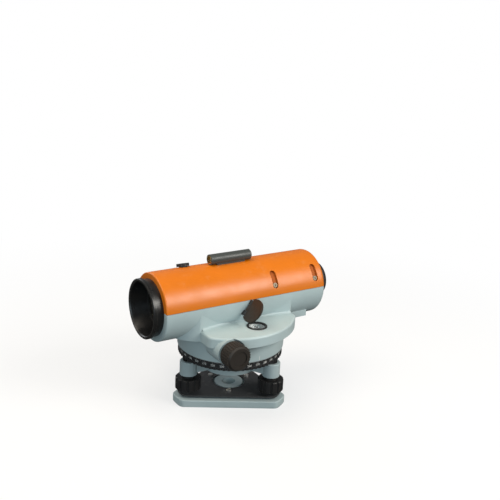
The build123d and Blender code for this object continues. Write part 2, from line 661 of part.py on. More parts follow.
def drive_knob(side):
    """Knob at one end of the drive shaft."""
    knob = grip_knob(DRIVE_KNOB_RADIUS, DRIVE_KNOB_LENGTH, DRIVE_KNOB_RIBS, 0.7, SHAFT_RADIUS + PRESS,
                     DRIVE_KNOB_LENGTH - 3)
    return Pos(DRIVE_X, side * KNOB_START, DRIVE_HEIGHT) * Rot(-side * 90, 0, 0) * knob


# Vertical axis

def spindle():
    """Vertical steel spindle with its fixing flange and spigot."""
    body = along_z(SPINDLE_RADIUS, SPINDLE_BOTTOM, SPINDLE_TOP)
    body += along_z(SPINDLE_FLANGE, SPINDLE_TOP, ROOF_HEIGHT)
    body += along_z(SPIGOT_RADIUS, ROOF_HEIGHT, FLOOR_HEIGHT)
    for x, y in spindle_screw_places():
        body -= along_z(SCREW_RADIUS, SPINDLE_TOP - CUT, ROOF_HEIGHT + CUT, x, y)
    return body


def spindle_screws():
    """Four screws through the floor into the spindle's flange."""
    screws = []
    for x, y in spindle_screw_places():
        screw = along_z(SCREW_HEAD, FLOOR_HEIGHT, FLOOR_HEIGHT + 1.6, x, y)
        screw += along_z(SCREW_RADIUS, SPINDLE_TOP + 0.3, FLOOR_HEIGHT, x, y)
        screws.append(screw - along_z(1.0, FLOOR_HEIGHT + 0.6, FLOOR_HEIGHT + 2.6, x, y))
    return screws


def spindle_nut():
    """Round nut with two key slots that keeps the spindle in its bearing."""
    top = ARM_BOTTOM - GAP
    nut = along_z(NUT_RADIUS, top - NUT_THICK, top) - along_z(SPINDLE_RADIUS + PRESS, top - 10, top + CUT)
    return nut - block(-NUT_RADIUS - 1, NUT_RADIUS + 1, -1.2, 1.2, top - NUT_THICK - CUT, top - NUT_THICK + 1.5)


def axis_bushes():
    """Two bronze bushes pressed into the column."""
    outer = SPINDLE_RADIUS + AXIS_BUSH_WALL
    bushes = []
    for bottom in (ARM_BOTTOM, NECK_TOP - AXIS_BUSH_LENGTH):
        bush = along_z(outer, bottom, bottom + AXIS_BUSH_LENGTH)
        bushes.append(bush - along_z(SPINDLE_RADIUS + RUN, bottom - CUT, bottom + AXIS_BUSH_LENGTH + CUT))
    return bushes


def tribrach():
    """Three-armed levelling head with the bearing column on top."""
    body = rounded(along_z(HUB_RADIUS, ARM_BOTTOM, ARM_TOP), Axis.Z, -1, 1.0)
    for angle in FOOT_ANGLES:
        arm = block(0, FOOT_CIRCLE, -ARM_WIDTH / 2, ARM_WIDTH / 2, ARM_BOTTOM + 2, ARM_TOP - 1.5)
        arm += rounded(along_z(ARM_BOSS, ARM_BOTTOM, ARM_TOP, FOOT_CIRCLE), Axis.Z, -1, 1.0)
        body += Rot(0, 0, angle) * arm
    body += along_z(COLUMN_RADIUS, ARM_TOP - CUT, SHOULDER_HEIGHT)
    body += along_z(NECK_RADIUS, SHOULDER_HEIGHT - CUT, NECK_TOP)
    body -= along_z(SPINDLE_RADIUS + AXIS_BUSH_WALL, ARM_BOTTOM - CUT, NECK_TOP + CUT)
    for x, y in foot_places():
        body -= along_z(FOOT_SHAFT + RUN, ARM_BOTTOM - CUT, ARM_TOP + CUT, x, y)
    return body


def ring_z(outer, inner, bottom, top):
    """Flat ring about the vertical axis."""
    return along_z(outer, bottom, top) - along_z(inner, bottom - CUT, top + CUT)


def clutch_washer():
    """Friction washer between the column's shoulder and the wheel."""
    return ring_z(COLUMN_RADIUS, NECK_RADIUS + SEAT, SHOULDER_HEIGHT, WHEEL_BOTTOM - 0.1)


def clutch_spring():
    """Dished spring washer that presses the wheel on its shoulder."""
    low = WEB_TOP + 0.1
    inner = NECK_RADIUS + SEAT
    return turned_z([(inner, low + 0.5), (inner + 5, low), (inner + 5, low + 0.6), (inner, low + 1.1)])


def clutch_nut():
    """Nut on the neck that sets the clutch's grip."""
    bottom = WEB_TOP + 0.1 + 1.1
    return ring_z(NECK_RADIUS + 4.5, NECK_RADIUS + PRESS, bottom, NECK_TOP - 0.2)


def horizontal_circle():
    """Graduated ring that turns by hand round the column."""
    body = ring_z(CIRCLE_RADIUS, COLUMN_RADIUS + RUN, CIRCLE_BOTTOM, CIRCLE_TOP)
    body -= ring_z(CIRCLE_RADIUS - CIRCLE_RIM, COLUMN_RADIUS + 3, CIRCLE_BOTTOM + CIRCLE_WEB, CIRCLE_TOP + CUT)
    grip = Pos(0, 0, CIRCLE_BOTTOM) * ribbed_disc(CIRCLE_RADIUS + 1.2, 2.4, 72, 0.7)
    return body + (grip - along_z(CIRCLE_RADIUS - 1, CIRCLE_BOTTOM - CUT, CIRCLE_BOTTOM + 5))


def circle_washer():
    """Felt ring that carries the horizontal circle with light friction."""
    return ring_z(COLUMN_RADIUS + 8, COLUMN_RADIUS + SEAT, ARM_TOP, CIRCLE_BOTTOM - 0.1)


# Levelling base

def plate_outline(inset=0.0):
    """Rounded triangle under the foot screws."""
    triangle = RegularPolygon(PLATE_FLAT - inset, 3, major_radius=False, rotation=60)
    outline = triangle & Circle(PLATE_REACH - inset)
    return fillet(outline.vertices(), PLATE_CORNER)


def base_plate():
    """Base plate with the tripod thread and a round seat for each foot screw's ball."""
    plate = extrude(plate_outline(), PLATE_THICK)
    plate = rounded(plate, Axis.Z, -1, 1.0)
    plate += along_z(THREAD_BOSS, 0, THREAD_LENGTH)
    plate -= along_z(THREAD_RADIUS, -CUT, THREAD_LENGTH + CUT)
    for x, y in foot_places():
        plate -= Pos(x, y, BALL_HEIGHT) * Sphere(BALL_RADIUS + 0.1)
        plate -= along_z(BALL_RADIUS + 0.1, BALL_HEIGHT, BALL_HEIGHT + 6, x, y)
    for x, y in spring_screw_places():
        plate += along_z(4.0, PLATE_THICK - CUT, SPRING_PLATE_BOTTOM, x, y)
        plate -= along_z(SCREW_RADIUS, PLATE_THICK - 4, SPRING_PLATE_BOTTOM + CUT, x, y)
    return plate


def spring_screw_places():
    """Positions of the spring plate's three screws, between the foot screws."""
    ring = THREAD_BOSS + 7
    return [(ring * cos(radians(a + 180)), ring * sin(radians(a + 180))) for a in FOOT_ANGLES]


def spring_plate():
    """Sheet spring that holds the foot screws' balls down in their seats."""
    sheet = extrude(Pos(0, 0, SPRING_PLATE_BOTTOM) * plate_outline(4.0), SPRING_PLATE_THICK)
    sheet -= along_z(THREAD_BOSS + 2, 0, SPRING_PLATE_BOTTOM + 5)
    for x, y in foot_places():
        sheet -= along_z(FOOT_NECK + 0.6, 0, SPRING_PLATE_BOTTOM + 5, x, y)
    for x, y in spring_screw_places():
        sheet -= along_z(SCREW_RADIUS + SEAT, 0, SPRING_PLATE_BOTTOM + 5, x, y)
    return sheet


def spring_plate_screws():
    """Three screws that hold the spring plate."""
    top = SPRING_PLATE_BOTTOM + SPRING_PLATE_THICK
    screws = []
    for x, y in spring_screw_places():
        screw = along_z(SCREW_HEAD, top, top + 1.5, x, y) + along_z(SCREW_RADIUS, PLATE_THICK - 3, top, x, y)
        screws.append(screw - block(x - 3, x + 3, y - 0.35, y + 0.35, top + 0.7, top + 2))
    return screws


def foot_screw(x, y):
    """Foot screw with its ball end, neck and shaft."""
    ball = Pos(x, y, BALL_HEIGHT) * Sphere(BALL_RADIUS)
    neck = along_z(FOOT_NECK, BALL_HEIGHT, FOOT_KNOB_BOTTOM, x, y)
    shaft = along_z(FOOT_SHAFT, FOOT_KNOB_BOTTOM - 1.5, ARM_TOP - CAP_THICK - 1, x, y)
    return ball + neck + shaft


def foot_knob(x, y):
    """Fluted knob fixed on a foot screw."""
    height = FOOT_KNOB_TOP - FOOT_KNOB_BOTTOM
    body = ribbed_disc(FOOT_KNOB_RADIUS, height, FOOT_KNOB_FLUTES, 1.3, 0.42)
    outer = FOOT_KNOB_RADIUS
    inner = outer - 0.8
    body &= turned_z([(0, 0), (inner, 0), (outer, 0.8), (outer, height - 0.8), (inner, height), (0, height)])
    body += Pos(0, 0, height + 0.75) * Cylinder(FOOT_SHAFT + 3, 1.5)
    body -= Cylinder(FOOT_SHAFT, 6 * height)
    return Pos(x, y, FOOT_KNOB_BOTTOM) * body


def foot_screw_caps():
    """Dust caps in the tops of the tribrach's arms."""
    caps = []
    for x, y in foot_places():
        cap = along_z(FOOT_SHAFT + 2, ARM_TOP, ARM_TOP + 1, x, y)
        caps.append(cap + along_z(FOOT_SHAFT, ARM_TOP - CAP_THICK, ARM_TOP, x, y))
    return caps


# Objective

def objective_barrel():
    """Black barrel with its outer rim, stepped inside up to the lens seat."""
    wall = BARREL_RADIUS
    collar_front = TUBE_FRONT + END_WALL + SEAT
    seat_rear = LENS_FRONT + LENS_THICK + 0.2
    return turned_x([
        (RIM_FRONT + 0.6, RIM_RADIUS), (RIM_FRONT + RIM_WIDTH, RIM_RADIUS), (RIM_FRONT + RIM_WIDTH, wall),
        (collar_front, wall), (collar_front, INNER_RADIUS - GAP), (collar_front + 3, INNER_RADIUS - GAP),
        (collar_front + 3, wall - 2), (BARREL_REAR, wall - 2), (BARREL_REAR, LENS_RADIUS - 1.5),
        (seat_rear, LENS_RADIUS - 1.5), (seat_rear, LENS_RADIUS + SEAT),
        (LENS_FRONT - 2.6, LENS_RADIUS + SEAT), (LENS_FRONT - 2.6, LENS_RADIUS + 1.2),
        (RIM_FRONT + 1.0, MOUTH_RADIUS), (RIM_FRONT, MOUTH_RADIUS + 0.7), (RIM_FRONT, RIM_RADIUS - 0.6)])


def crowned_bar(radius, length, crown):
    """Round bar that stands on the XY plane, with a spherical crown on its upper end."""
    edge = length - crown
    sphere = (radius ** 2 + crown ** 2) / (2 * crown)
    halfway = length - sphere + sqrt(sphere ** 2 - (radius / 2) ** 2)
    arc = ThreePointArc((radius, 0, edge), (radius / 2, 0, halfway), (0, 0, length))
    sides = Polyline((0, 0, length), (0, 0, 0), (radius, 0, 0), (radius, 0, edge))
    return revolve(make_face(arc + sides), Axis.Z)


def lens(front, thick, radius, crown):
    """Round lens on the telescope axis, with a crowned front and a flat back."""
    return Pos(front + thick, 0, AXIS_HEIGHT) * Rot(0, -90, 0) * crowned_bar(radius, thick, crown)


def objective_lens():
    """Objective lens in its seat."""
    return lens(LENS_FRONT, LENS_THICK, LENS_RADIUS, LENS_CROWN)


def objective_retainer():
    """Threaded ring in front of the objective lens."""
    start = LENS_FRONT - 2.2
    inner = LENS_RADIUS - 1.6
    return turned_x([(start, LENS_RADIUS + 0.02), (LENS_FRONT + 1.3, LENS_RADIUS + 0.02),
                     (LENS_FRONT + 1.0, LENS_RADIUS - 1.2), (LENS_FRONT - 0.2, inner), (start, inner)])


# Focusing

def pinion_outline():
    """Toothed outline of the focus pinion, with a tooth that points straight up."""
    half = (pi * PINION_MODULE / 2 - BACKLASH) / 2
    base = PINION_RADIUS * cos(radians(PINION_FLANK))
    tip = PINION_RADIUS + PINION_DEPTH
    root = PINION_RADIUS - PINION_DEPTH - 0.25
    steps = 4
    flank = []
    for i in range(steps + 1):
        radius = base + (tip - base) * i / steps
        flank.append((radius, half / PINION_RADIUS + involute(PINION_RADIUS, base) - involute(radius, base)))
    points = []
    for i in range(PINION_TEETH):
        middle = pi / 2 + 2 * pi / PINION_TEETH * i
        points += [polar(root, middle - flank[0][1])]
        points += [polar(radius, middle - turn) for radius, turn in flank]
        points += [polar(radius, middle + turn) for radius, turn in reversed(flank)]
        points += [polar(root, middle + flank[0][1])]
    return make_face(Polyline(*points, close=True))


def involute(radius, base):
    """Involute angle of a radius, for a base circle."""
    along = sqrt(max(radius ** 2 - base ** 2, 0)) / base
    return along - atan2(along, 1)


def polar(radius, angle):
    """Point at a radius and an angle in radians."""
    return (radius * cos(angle), radius * sin(angle))


def focus_pinion_shaft():
    """Focus shaft with the pinion cut at its inner end."""
    pinion = extrude(pinion_outline(), RACK_WIDTH)
    plain = FOCUS_SHAFT_LENGTH - RACK_WIDTH
    shaft = Pos(0, 0, RACK_WIDTH + plain / 2) * Cylinder(SHAFT_RADIUS, plain)
    place = Pos(FOCUS_X, RACK_SIDE, AXIS_HEIGHT) * Rot(-90, 0, 0) * Rot(0, 0, 180)
    return place * (pinion + shaft)


def focus_rack():
    """Rack over the pinion, with a web that joins it to the lens cell."""
    pitch = pi * PINION_MODULE
    half = (pitch / 2 - BACKLASH) / 2
    slope = tan(radians(PINION_FLANK))
    tip = RACK_LINE - PINION_DEPTH
    root = RACK_LINE + PINION_DEPTH + 0.25
    start = FOCUS_X - RACK_PITCHES * pitch / 2
    points = [(start, root + RACK_BACK), (start, root)]
    for i in range(RACK_PITCHES):
        middle = start + (i + 0.5) * pitch + tooth_shift()
        spread = half - (RACK_LINE - tip) * slope
        foot = half + (root - RACK_LINE) * slope
        points += [(middle - foot, root), (middle - spread, tip), (middle + spread, tip), (middle + foot, root)]
    end = FOCUS_X + RACK_PITCHES * pitch / 2
    points += [(end, root), (end, root + RACK_BACK)]
    side = make_face(Polyline(*[(x, 0, z) for x, z in points], close=True))
    bar = Pos(0, RACK_SIDE, 0) * extrude(side, RACK_WIDTH, dir=(0, 1, 0))
    web = block(FOCUS_X - CELL_HALF + 1, FOCUS_X + CELL_HALF - 1, cell_radius() - 6, RACK_SIDE + 1,
                root + 0.6, root + RACK_BACK)
    web -= along_x(cell_radius(), FOCUS_X - CELL_HALF, FOCUS_X + CELL_HALF)
    return bar + web


def tooth_shift():
    """Shift of the rack's teeth that puts a gap over the pinion's top tooth."""
    return pi * PINION_MODULE / 2 if RACK_PITCHES % 2 else 0.0


def cell_radius():
    """Outer radius of the focusing cell, which slides in the guide tube."""
    return GUIDE_RADIUS - GUIDE_WALL - RUN


def focus_cell():
    """Sliding cell of the focusing lens."""
    cell = along_x(cell_radius(), FOCUS_X - CELL_HALF, FOCUS_X + CELL_HALF)
    cell -= along_x(FOCUS_LENS_RADIUS - 1.5, FOCUS_X - CELL_HALF - CUT, FOCUS_X + CELL_HALF + CUT)
    return cell - along_x(FOCUS_LENS_RADIUS + SEAT, FOCUS_X - CELL_HALF - CUT, FOCUS_X - CELL_HALF + 6)


def focus_lens():
    """Focusing lens in the front of its cell."""
    return lens(FOCUS_X - CELL_HALF + 1.5, 4.4, FOCUS_LENS_RADIUS, 0.9)


def focus_guide():
    """Guide tube of the focusing cell, slotted for the rack, on two feet."""
    start = FOCUS_X - GUIDE_HALF
    end = FOCUS_X + GUIDE_HALF
    guide = along_x(GUIDE_RADIUS, start, end)
    for x in (start + 4, end - 4):
        guide += block(x - 4, x + 4, -9, 9, FLOOR_HEIGHT, AXIS_HEIGHT - GUIDE_RADIUS + 2)
    guide -= along_x(GUIDE_RADIUS - GUIDE_WALL, start - CUT, end + CUT)
    root = RACK_LINE + PINION_DEPTH + 0.25
    return guide - block(start - CUT, end + CUT, 0, GUIDE_RADIUS + CUT, root - 0.4, root + RACK_BACK + GAP)


def focus_bush():
    """Flanged bush of the focus shaft."""
    bush = along_y(SHAFT_RADIUS + BUSH_WALL, INNER_RADIUS - 3.5, FOCUS_PAD_END, FOCUS_X)
    bush += along_y(SHAFT_RADIUS + BUSH_WALL + 1.5, FOCUS_PAD_END, FOCUS_PAD_END + 0.7, FOCUS_X)
    return bush - along_y(SHAFT_RADIUS + RUN, 0, FOCUS_PAD_END + 5, FOCUS_X)


def focus_knob():
    """Large focus knob with a stepped base."""
    knob = grip_knob(FOCUS_KNOB_RADIUS, FOCUS_KNOB_LENGTH, FOCUS_KNOB_RIBS, 0.7, SHAFT_RADIUS + PRESS,
                     FOCUS_SHAFT_HOLD)
    return Pos(FOCUS_X, FOCUS_KNOB_START, AXIS_HEIGHT) * Rot(-90, 0, 0) * knob


# Compensator

def compensator_frame():
    """Open frame that stands on the floor and carries the fixed prisms, the wires and the magnets."""
    x0 = COMP_FRONT
    x1 = COMP_FRONT + COMP_LENGTH
    top = AXIS_HEIGHT + COMP_RISE
    frame = block(x0, x1, -COMP_HALF, COMP_HALF, FLOOR_HEIGHT, FLOOR_HEIGHT + COMP_BASE)
    frame -= block(x0 - 1, SPINDLE_FLANGE + 1, -SPINDLE_FLANGE, SPINDLE_FLANGE, FLOOR_HEIGHT - 1,
                   FLOOR_HEIGHT + 1.9)
    for side in both_sides(block(x0, x1, COMP_HALF - COMP_PLATE, COMP_HALF, FLOOR_HEIGHT + 1.9, top)):
        frame += side
    middle = (x0 + x1) / 2
    bridge = block(middle - 8, middle + 8, -COMP_HALF, COMP_HALF, top - 3, top)
    shelf = block(x0, x0 + 12, -COMP_HALF, COMP_HALF, AXIS_HEIGHT + PRISM_SIDE / 2, AXIS_HEIGHT + PRISM_SIDE / 2 + 2)
    frame += bridge + shelf + Pos(COMP_LENGTH - 12, 0, 0) * shelf
    for post in both_sides(block(magnet_x() - MAGNET_POST / 2, magnet_x() + MAGNET_POST / 2, 5.2, 7.5, FLOOR_HEIGHT + 1.9, magnet_z() + 3)):
        frame += post
    return frame


def magnet_x():
    """Station of the damping magnets."""
    return COMP_FRONT + COMP_LENGTH / 2 + TRAY_HALF + TRAY_ROOM + MAGNET_POST / 2


def magnet_z():
    """Height of the damping magnets."""
    return FLOOR_HEIGHT + COMP_BASE + 4.6


def fixed_prisms():
    """Two right-angle prisms that turn the light down to the pendulum and back."""
    x0 = COMP_FRONT + 0.5
    low = AXIS_HEIGHT - PRISM_SIDE / 2
    high = AXIS_HEIGHT + PRISM_SIDE / 2
    side = make_face(Polyline((x0, 0, low), (x0, 0, high), (x0 + 11, 0, high), close=True))
    front = Pos(0, -PRISM_HALF, 0) * extrude(side, 2 * PRISM_HALF, dir=(0, 1, 0))
    middle = COMP_FRONT + COMP_LENGTH / 2
    return [front, Pos(2 * middle, 0, 0) * mirror(front, Plane.YZ)]


def pendulum():
    """Hanging yoke of the moving prism."""
    middle = COMP_FRONT + COMP_LENGTH / 2
    top = AXIS_HEIGHT + HANGER_RISE
    tray = pendulum_tray()
    yoke = block(middle - 4, middle + 4, -12.5, 12.5, top, top + 2)
    for arm in both_sides(block(middle - 3, middle + 3, 10.9, 12.5, tray, top + 1)):
        yoke += arm
    return yoke + block(middle - 3, middle + 3, -12.5, 12.5, tray, tray + 1.4) + block(
        middle - TRAY_HALF, middle + TRAY_HALF, -PRISM_HALF, PRISM_HALF, tray, tray + 1.4)


def pendulum_tray():
    """Height of the tray's underside."""
    return FLOOR_HEIGHT + COMP_BASE + 0.8


def pendulum_prism():
    """Trapezoid prism that hangs in the tray."""
    middle = COMP_FRONT + COMP_LENGTH / 2
    low = pendulum_tray() + 1.4
    side = make_face(Polyline((middle - TRAY_HALF, 0, low), (middle + TRAY_HALF, 0, low), (middle + 5, 0, low + 6.5),
                              (middle - 5, 0, low + 6.5), close=True))
    return Pos(0, -PRISM_HALF, 0) * extrude(side, 2 * PRISM_HALF, dir=(0, 1, 0))


def suspension_wires():
    """Four crossed wires that hang the pendulum from the frame's bridge."""
    middle = COMP_FRONT + COMP_LENGTH / 2
    low = AXIS_HEIGHT + HANGER_RISE + 2 + 0.15
    high = AXIS_HEIGHT + COMP_RISE - 3
    length = sqrt((high - low) ** 2 + 6 ** 2)
    lean = degrees(atan2(6, high - low))
    wires = []
    for y, sense in ((-8, 1), (-6, -1), (6, 1), (8, -1)):
        wire = Rot(0, sense * lean, 0) * Cylinder(WIRE_RADIUS, length - 0.6)
        wires.append(Pos(middle, y, (low + high) / 2) * wire)
    return wires


def damping_vane():
    """Copper vane on the pendulum that swings between the magnets."""
    middle = COMP_FRONT + COMP_LENGTH / 2
    low = pendulum_tray() + 1.4
    return block(middle + TRAY_HALF, magnet_x() + 2.5, -0.6, 0.6, low - 1.4, low + 4)


def damping_magnets():
    """Two magnets, one each side of the vane."""
    return both_sides(along_y(MAGNET_RADIUS, 1.4, 5.2, magnet_x(), magnet_z()))


# Reticle and eyepiece

def eyepiece_mount():
    """Fixed sleeve in the rear wall that seats the reticle and guides the eyepiece."""
    flange_rear = TUBE_REAR - END_WALL
    seat = MOUNT_FRONT + 2
    return turned_x([
        (MOUNT_FRONT, RETICLE_RADIUS + SEAT), (MOUNT_FRONT, MOUNT_RADIUS - 1.5), (flange_rear - 3, MOUNT_RADIUS - 1.5), (flange_rear - 3, MOUNT_RADIUS + 3),
        (flange_rear, MOUNT_RADIUS + 3), (flange_rear, MOUNT_RADIUS), (MOUNT_REAR, MOUNT_RADIUS),
        (MOUNT_REAR, MOUNT_BORE + RUN), (seat + 4, MOUNT_BORE + RUN), (seat + 4, RETICLE_RADIUS - 1),
        (seat + 2.6, RETICLE_RADIUS - 1), (seat + 2.6, RETICLE_RADIUS + SEAT)])


def reticle_plate():
    """Glass plate of the reticle."""
    start = MOUNT_FRONT + 2
    return along_x(RETICLE_RADIUS, start + 0.6, start + 2.6)


def eyepiece_cell():
    """Lens cell that slides in the mount."""
    wall = EYE_LENS_RADIUS
    return turned_x([
        (EYE_CELL_FRONT, MOUNT_BORE), (EYE_CELL_REAR, MOUNT_BORE), (EYE_CELL_REAR, wall - 2),
        (EYE_CELL_REAR - 1, wall - 2), (EYE_CELL_REAR - 1, wall + SEAT), (EYE_CELL_REAR - 6, wall + SEAT),
        (EYE_CELL_REAR - 6, wall - 1), (EYE_CELL_FRONT + 7, wall - 1), (EYE_CELL_FRONT + 7, wall + SEAT),
        (EYE_CELL_FRONT, wall + SEAT)])


def eyepiece_lenses():
    """Field lens and eye lens."""
    return [lens(EYE_CELL_FRONT + 2.6, 4.4, EYE_LENS_RADIUS, 0.9),
            lens(EYE_CELL_REAR - 5.6, 4.4, EYE_LENS_RADIUS, 0.9)]


def eyepiece_ring():
    """Ribbed black ring that focuses the reticle."""
    start = TUBE_REAR + 0.6
    grip = ribbed_disc(EYE_RING_RADIUS, 6.4, EYE_RING_RIBS, 0.6)
    body = Pos(0, 0, 6.4 + 0.8) * Cylinder(EYE_RING_RADIUS - 0.6, 1.6)
    rest = EYE_RING_REAR - start - 8
    body += Pos(0, 0, 8 + rest / 2) * Cone(EYE_RING_RADIUS - 0.6, EYE_RING_RADIUS - 3.2, rest)
    ring = Pos(start, 0, AXIS_HEIGHT) * Rot(0, 90, 0) * (grip + body)
    ring -= along_x(MOUNT_RADIUS + RUN, start - CUT, MOUNT_REAR + 0.6)
    return ring - along_x(MOUNT_BORE + 0.4, start, EYE_RING_REAR + CUT)


# Circular bubble

def vial_cup():
    """Brass cup that holds the circular bubble in the deck."""
    floor = DECK_HEIGHT - VIAL_DEPTH
    cup = along_z(VIAL_RING_RADIUS - 0.4, floor, DECK_HEIGHT - 1.2, VIAL_X, VIAL_Y)
    return cup - along_z(VIAL_GLASS_RADIUS + SEAT, floor + 1, DECK_HEIGHT + CUT, VIAL_X, VIAL_Y)


def vial_ring():
    """Black ring round the bubble's glass, slightly proud of the deck."""
    top = DECK_HEIGHT + VIAL_PROUD
    ring = along_z(VIAL_RING_RADIUS, DECK_HEIGHT - 1.2, top, VIAL_X, VIAL_Y)
    ring = rounded(ring, Axis.Z, -1, 0.4)
    return ring - along_z(VIAL_GLASS_RADIUS + SEAT, DECK_HEIGHT - 3, top + CUT, VIAL_X, VIAL_Y)


def vial_glass():
    """Round glass vial with a domed top."""
    floor = DECK_HEIGHT - VIAL_DEPTH + 1
    top = DECK_HEIGHT + 0.6
    return Pos(VIAL_X, VIAL_Y, floor) * crowned_bar(VIAL_GLASS_RADIUS, top - floor, VIAL_CROWN)


# Bubble mirror

def mirror_place():
    """Frame of the mirror: X up along the hinge line, Y outwards from the tube, Z towards the bubble."""
    hinge_y = -(TUBE_RADIUS + MIRROR_OFFSET)
    lean = radians(MIRROR_LEAN)
    return Plane(origin=(MIRROR_X, hinge_y, MIRROR_Z), x_dir=(sin(lean), 0, cos(lean)),
                 z_dir=(cos(lean), 0, -sin(lean))).location


def mirror_outline(radius):
    """Round outline with a straight side at the hinge."""
    disc = Pos(MIRROR_CENTRE, MIRROR_REACH) * Circle(radius)
    return disc & Pos(MIRROR_CENTRE, 2 * radius) * Rectangle(4 * radius, 4 * radius)


def mirror_window(inset):
    """Outline of the mirror's silvered window, inside the frame's edge."""
    start = KNUCKLE_RADIUS + 0.7 + inset
    window = Pos(MIRROR_CENTRE, MIRROR_REACH) * Circle(MIRROR_RADIUS - MIRROR_EDGE - inset)
    return window & Pos(MIRROR_CENTRE, start + MIRROR_RADIUS) * Rectangle(2 * MIRROR_RADIUS, 2 * MIRROR_RADIUS)


def mirror_frame():
    """Black frame of the mirror with its hinge knuckle."""
    frame = extrude(Pos(0, 0, -MIRROR_THICK / 2) * mirror_outline(MIRROR_RADIUS), MIRROR_THICK)
    for low, high in knuckle_spans()[::2]:
        frame -= block(low - GAP, high + GAP, -3, KNUCKLE_RADIUS + GAP, -3, 3)
    low, high = knuckle_spans()[1]
    frame += along_x(KNUCKLE_RADIUS, low, high, 0, 0)
    frame -= extrude(Pos(0, 0, MIRROR_THICK / 2 - MIRROR_GLASS) * mirror_window(0), CUT + MIRROR_GLASS)
    frame -= along_x(PIN_RADIUS + RUN, -20, 40, 0, 0)
    return mirror_place() * frame


def knuckle_spans():
    """Stretches of the hinge line: bracket, mirror, bracket."""
    return [(0.6, 5.4), (5.7, 11.9), (12.2, 17.0)]


def mirror_glass():
    """Silvered glass in the face of the mirror that looks at the bubble."""
    face = Pos(0, 0, MIRROR_THICK / 2 - MIRROR_GLASS) * mirror_window(SEAT)
    return mirror_place() * extrude(face, MIRROR_GLASS - SEAT)


def mirror_bracket():
    """Hinge bracket on the side of the tube, with its riveted pin."""
    bracket = None
    for low, high in knuckle_spans()[::2]:
        ear = along_x(KNUCKLE_RADIUS, low, high, 0, 0) + block(low, high, -6, 0, -KNUCKLE_RADIUS, KNUCKLE_RADIUS)
        bracket = ear if bracket is None else bracket + ear
    bracket += along_x(PIN_RADIUS, knuckle_spans()[0][0], knuckle_spans()[2][1], 0, 0)
    bracket = mirror_place() * bracket
    return bracket - along_x(TUBE_RADIUS, -60, 60)


# Sight and button

def sight_body():
    """Sighting tube on a saddle that follows the cover."""
    height = AXIS_HEIGHT + TUBE_RADIUS + SIGHT_RADIUS
    tube = along_x(SIGHT_RADIUS, SIGHT_FRONT, SIGHT_REAR, 0, height)
    tube = chamfer(tube.edges().group_by(Axis.X)[-1], 0.5)
    foot = block(SIGHT_FRONT + 7, SIGHT_REAR - 7, -SIGHT_HALF_FOOT, SIGHT_HALF_FOOT,
                 AXIS_HEIGHT + TUBE_RADIUS - 3, height)
    foot -= along_x(TUBE_RADIUS, SIGHT_FRONT, SIGHT_REAR)
    return tube + foot - along_x(SIGHT_BORE, SIGHT_FRONT - CUT, SIGHT_REAR + CUT, 0, height)


def sight_lenses():
    """Window at each end of the sight."""
    height = AXIS_HEIGHT + TUBE_RADIUS + SIGHT_RADIUS
    return [along_x(SIGHT_BORE, SIGHT_FRONT + 2.2, SIGHT_FRONT + 4.2, 0, height),
            along_x(SIGHT_BORE, SIGHT_REAR - 3.2, SIGHT_REAR - 1.2, 0, height)]


def sight_end_ring():
    """Brass ring in the front end of the sight."""
    height = AXIS_HEIGHT + TUBE_RADIUS + SIGHT_RADIUS
    ring = along_x(SIGHT_BORE, SIGHT_FRONT - 0.3, SIGHT_FRONT + 2.2, 0, height)
    return ring - along_x(SIGHT_BORE - 0.9, SIGHT_FRONT - CUT, SIGHT_FRONT + 3, 0, height)


def check_button():
    """Ridged push button on the cover, kept in by a collar inside."""
    top = AXIS_HEIGHT + BUTTON_TOP
    cap = Pos(BUTTON_X, 0, top - BUTTON_THICK) * ribbed_disc(BUTTON_RADIUS, BUTTON_THICK, BUTTON_RIBS, 0.5)
    for i in (-1, 0, 1):
        cap -= block(BUTTON_X - 4.2, BUTTON_X + 4.2, i * 2.4 - 0.4, i * 2.4 + 0.4, top - 0.5, top + 1)
    inside = AXIS_HEIGHT + sqrt(INNER_RADIUS ** 2 - (BUTTON_STEM + 1.2) ** 2)
    stem = along_z(BUTTON_STEM, inside - 3, top - BUTTON_THICK + 0.5, BUTTON_X)
    collar = along_z(BUTTON_STEM + 1.2, inside - 2, inside - GAP, BUTTON_X)
    return leaned(cap + stem + collar)


def leaned(piece):
    """A piece of the upright button, turned about the telescope axis to the button's lean."""
    return Pos(0, 0, AXIS_HEIGHT) * Rot(-BUTTON_LEAN, 0, 0) * Pos(0, 0, -AXIS_HEIGHT) * piece


os.makedirs("parts", exist_ok=True)

save("main_body", main_body())
save("upper_cover", upper_cover())
save("casing_screws", cover_screws() + lid_screws() + spindle_screws())
save("cover_gasket", cover_gasket())
save("drum_lid", drum_lid())

save("worm_wheel", worm_wheel())
save("worm_shaft", worm_shaft())
save("shaft_bushes", drive_bushes() + [focus_bush()])
save("left_drive_knob", drive_knob(-1))
save("right_drive_knob", drive_knob(1))

save("spindle", spindle())
save("spindle_nut", spindle_nut())
save("axis_bushes", axis_bushes())
save("tribrach", tribrach())
save("friction_washers", [clutch_washer(), circle_washer()])
save("clutch_spring", clutch_spring())
save("clutch_nut", clutch_nut())
save("horizontal_circle", horizontal_circle())

save("base_plate", base_plate())
save("spring_plate", spring_plate())
save("spring_plate_screws", spring_plate_screws())
save("foot_screw_caps", foot_screw_caps())
for foot_name, (foot_x, foot_y) in zip(FOOT_NAMES, foot_places()):
    save(f"{foot_name}_foot_screw", foot_screw(foot_x, foot_y))
    save(f"{foot_name}_foot_knob", foot_knob(foot_x, foot_y))

save("objective_barrel", objective_barrel())
save("objective_lens", objective_lens())
save("objective_retainer", objective_retainer())

save("focus_pinion_shaft", focus_pinion_shaft())
save("focus_rack", focus_rack())
save("focus_cell", focus_cell())
save("focus_lens", focus_lens())
save("focus_guide", focus_guide())
save("focus_knob", focus_knob())

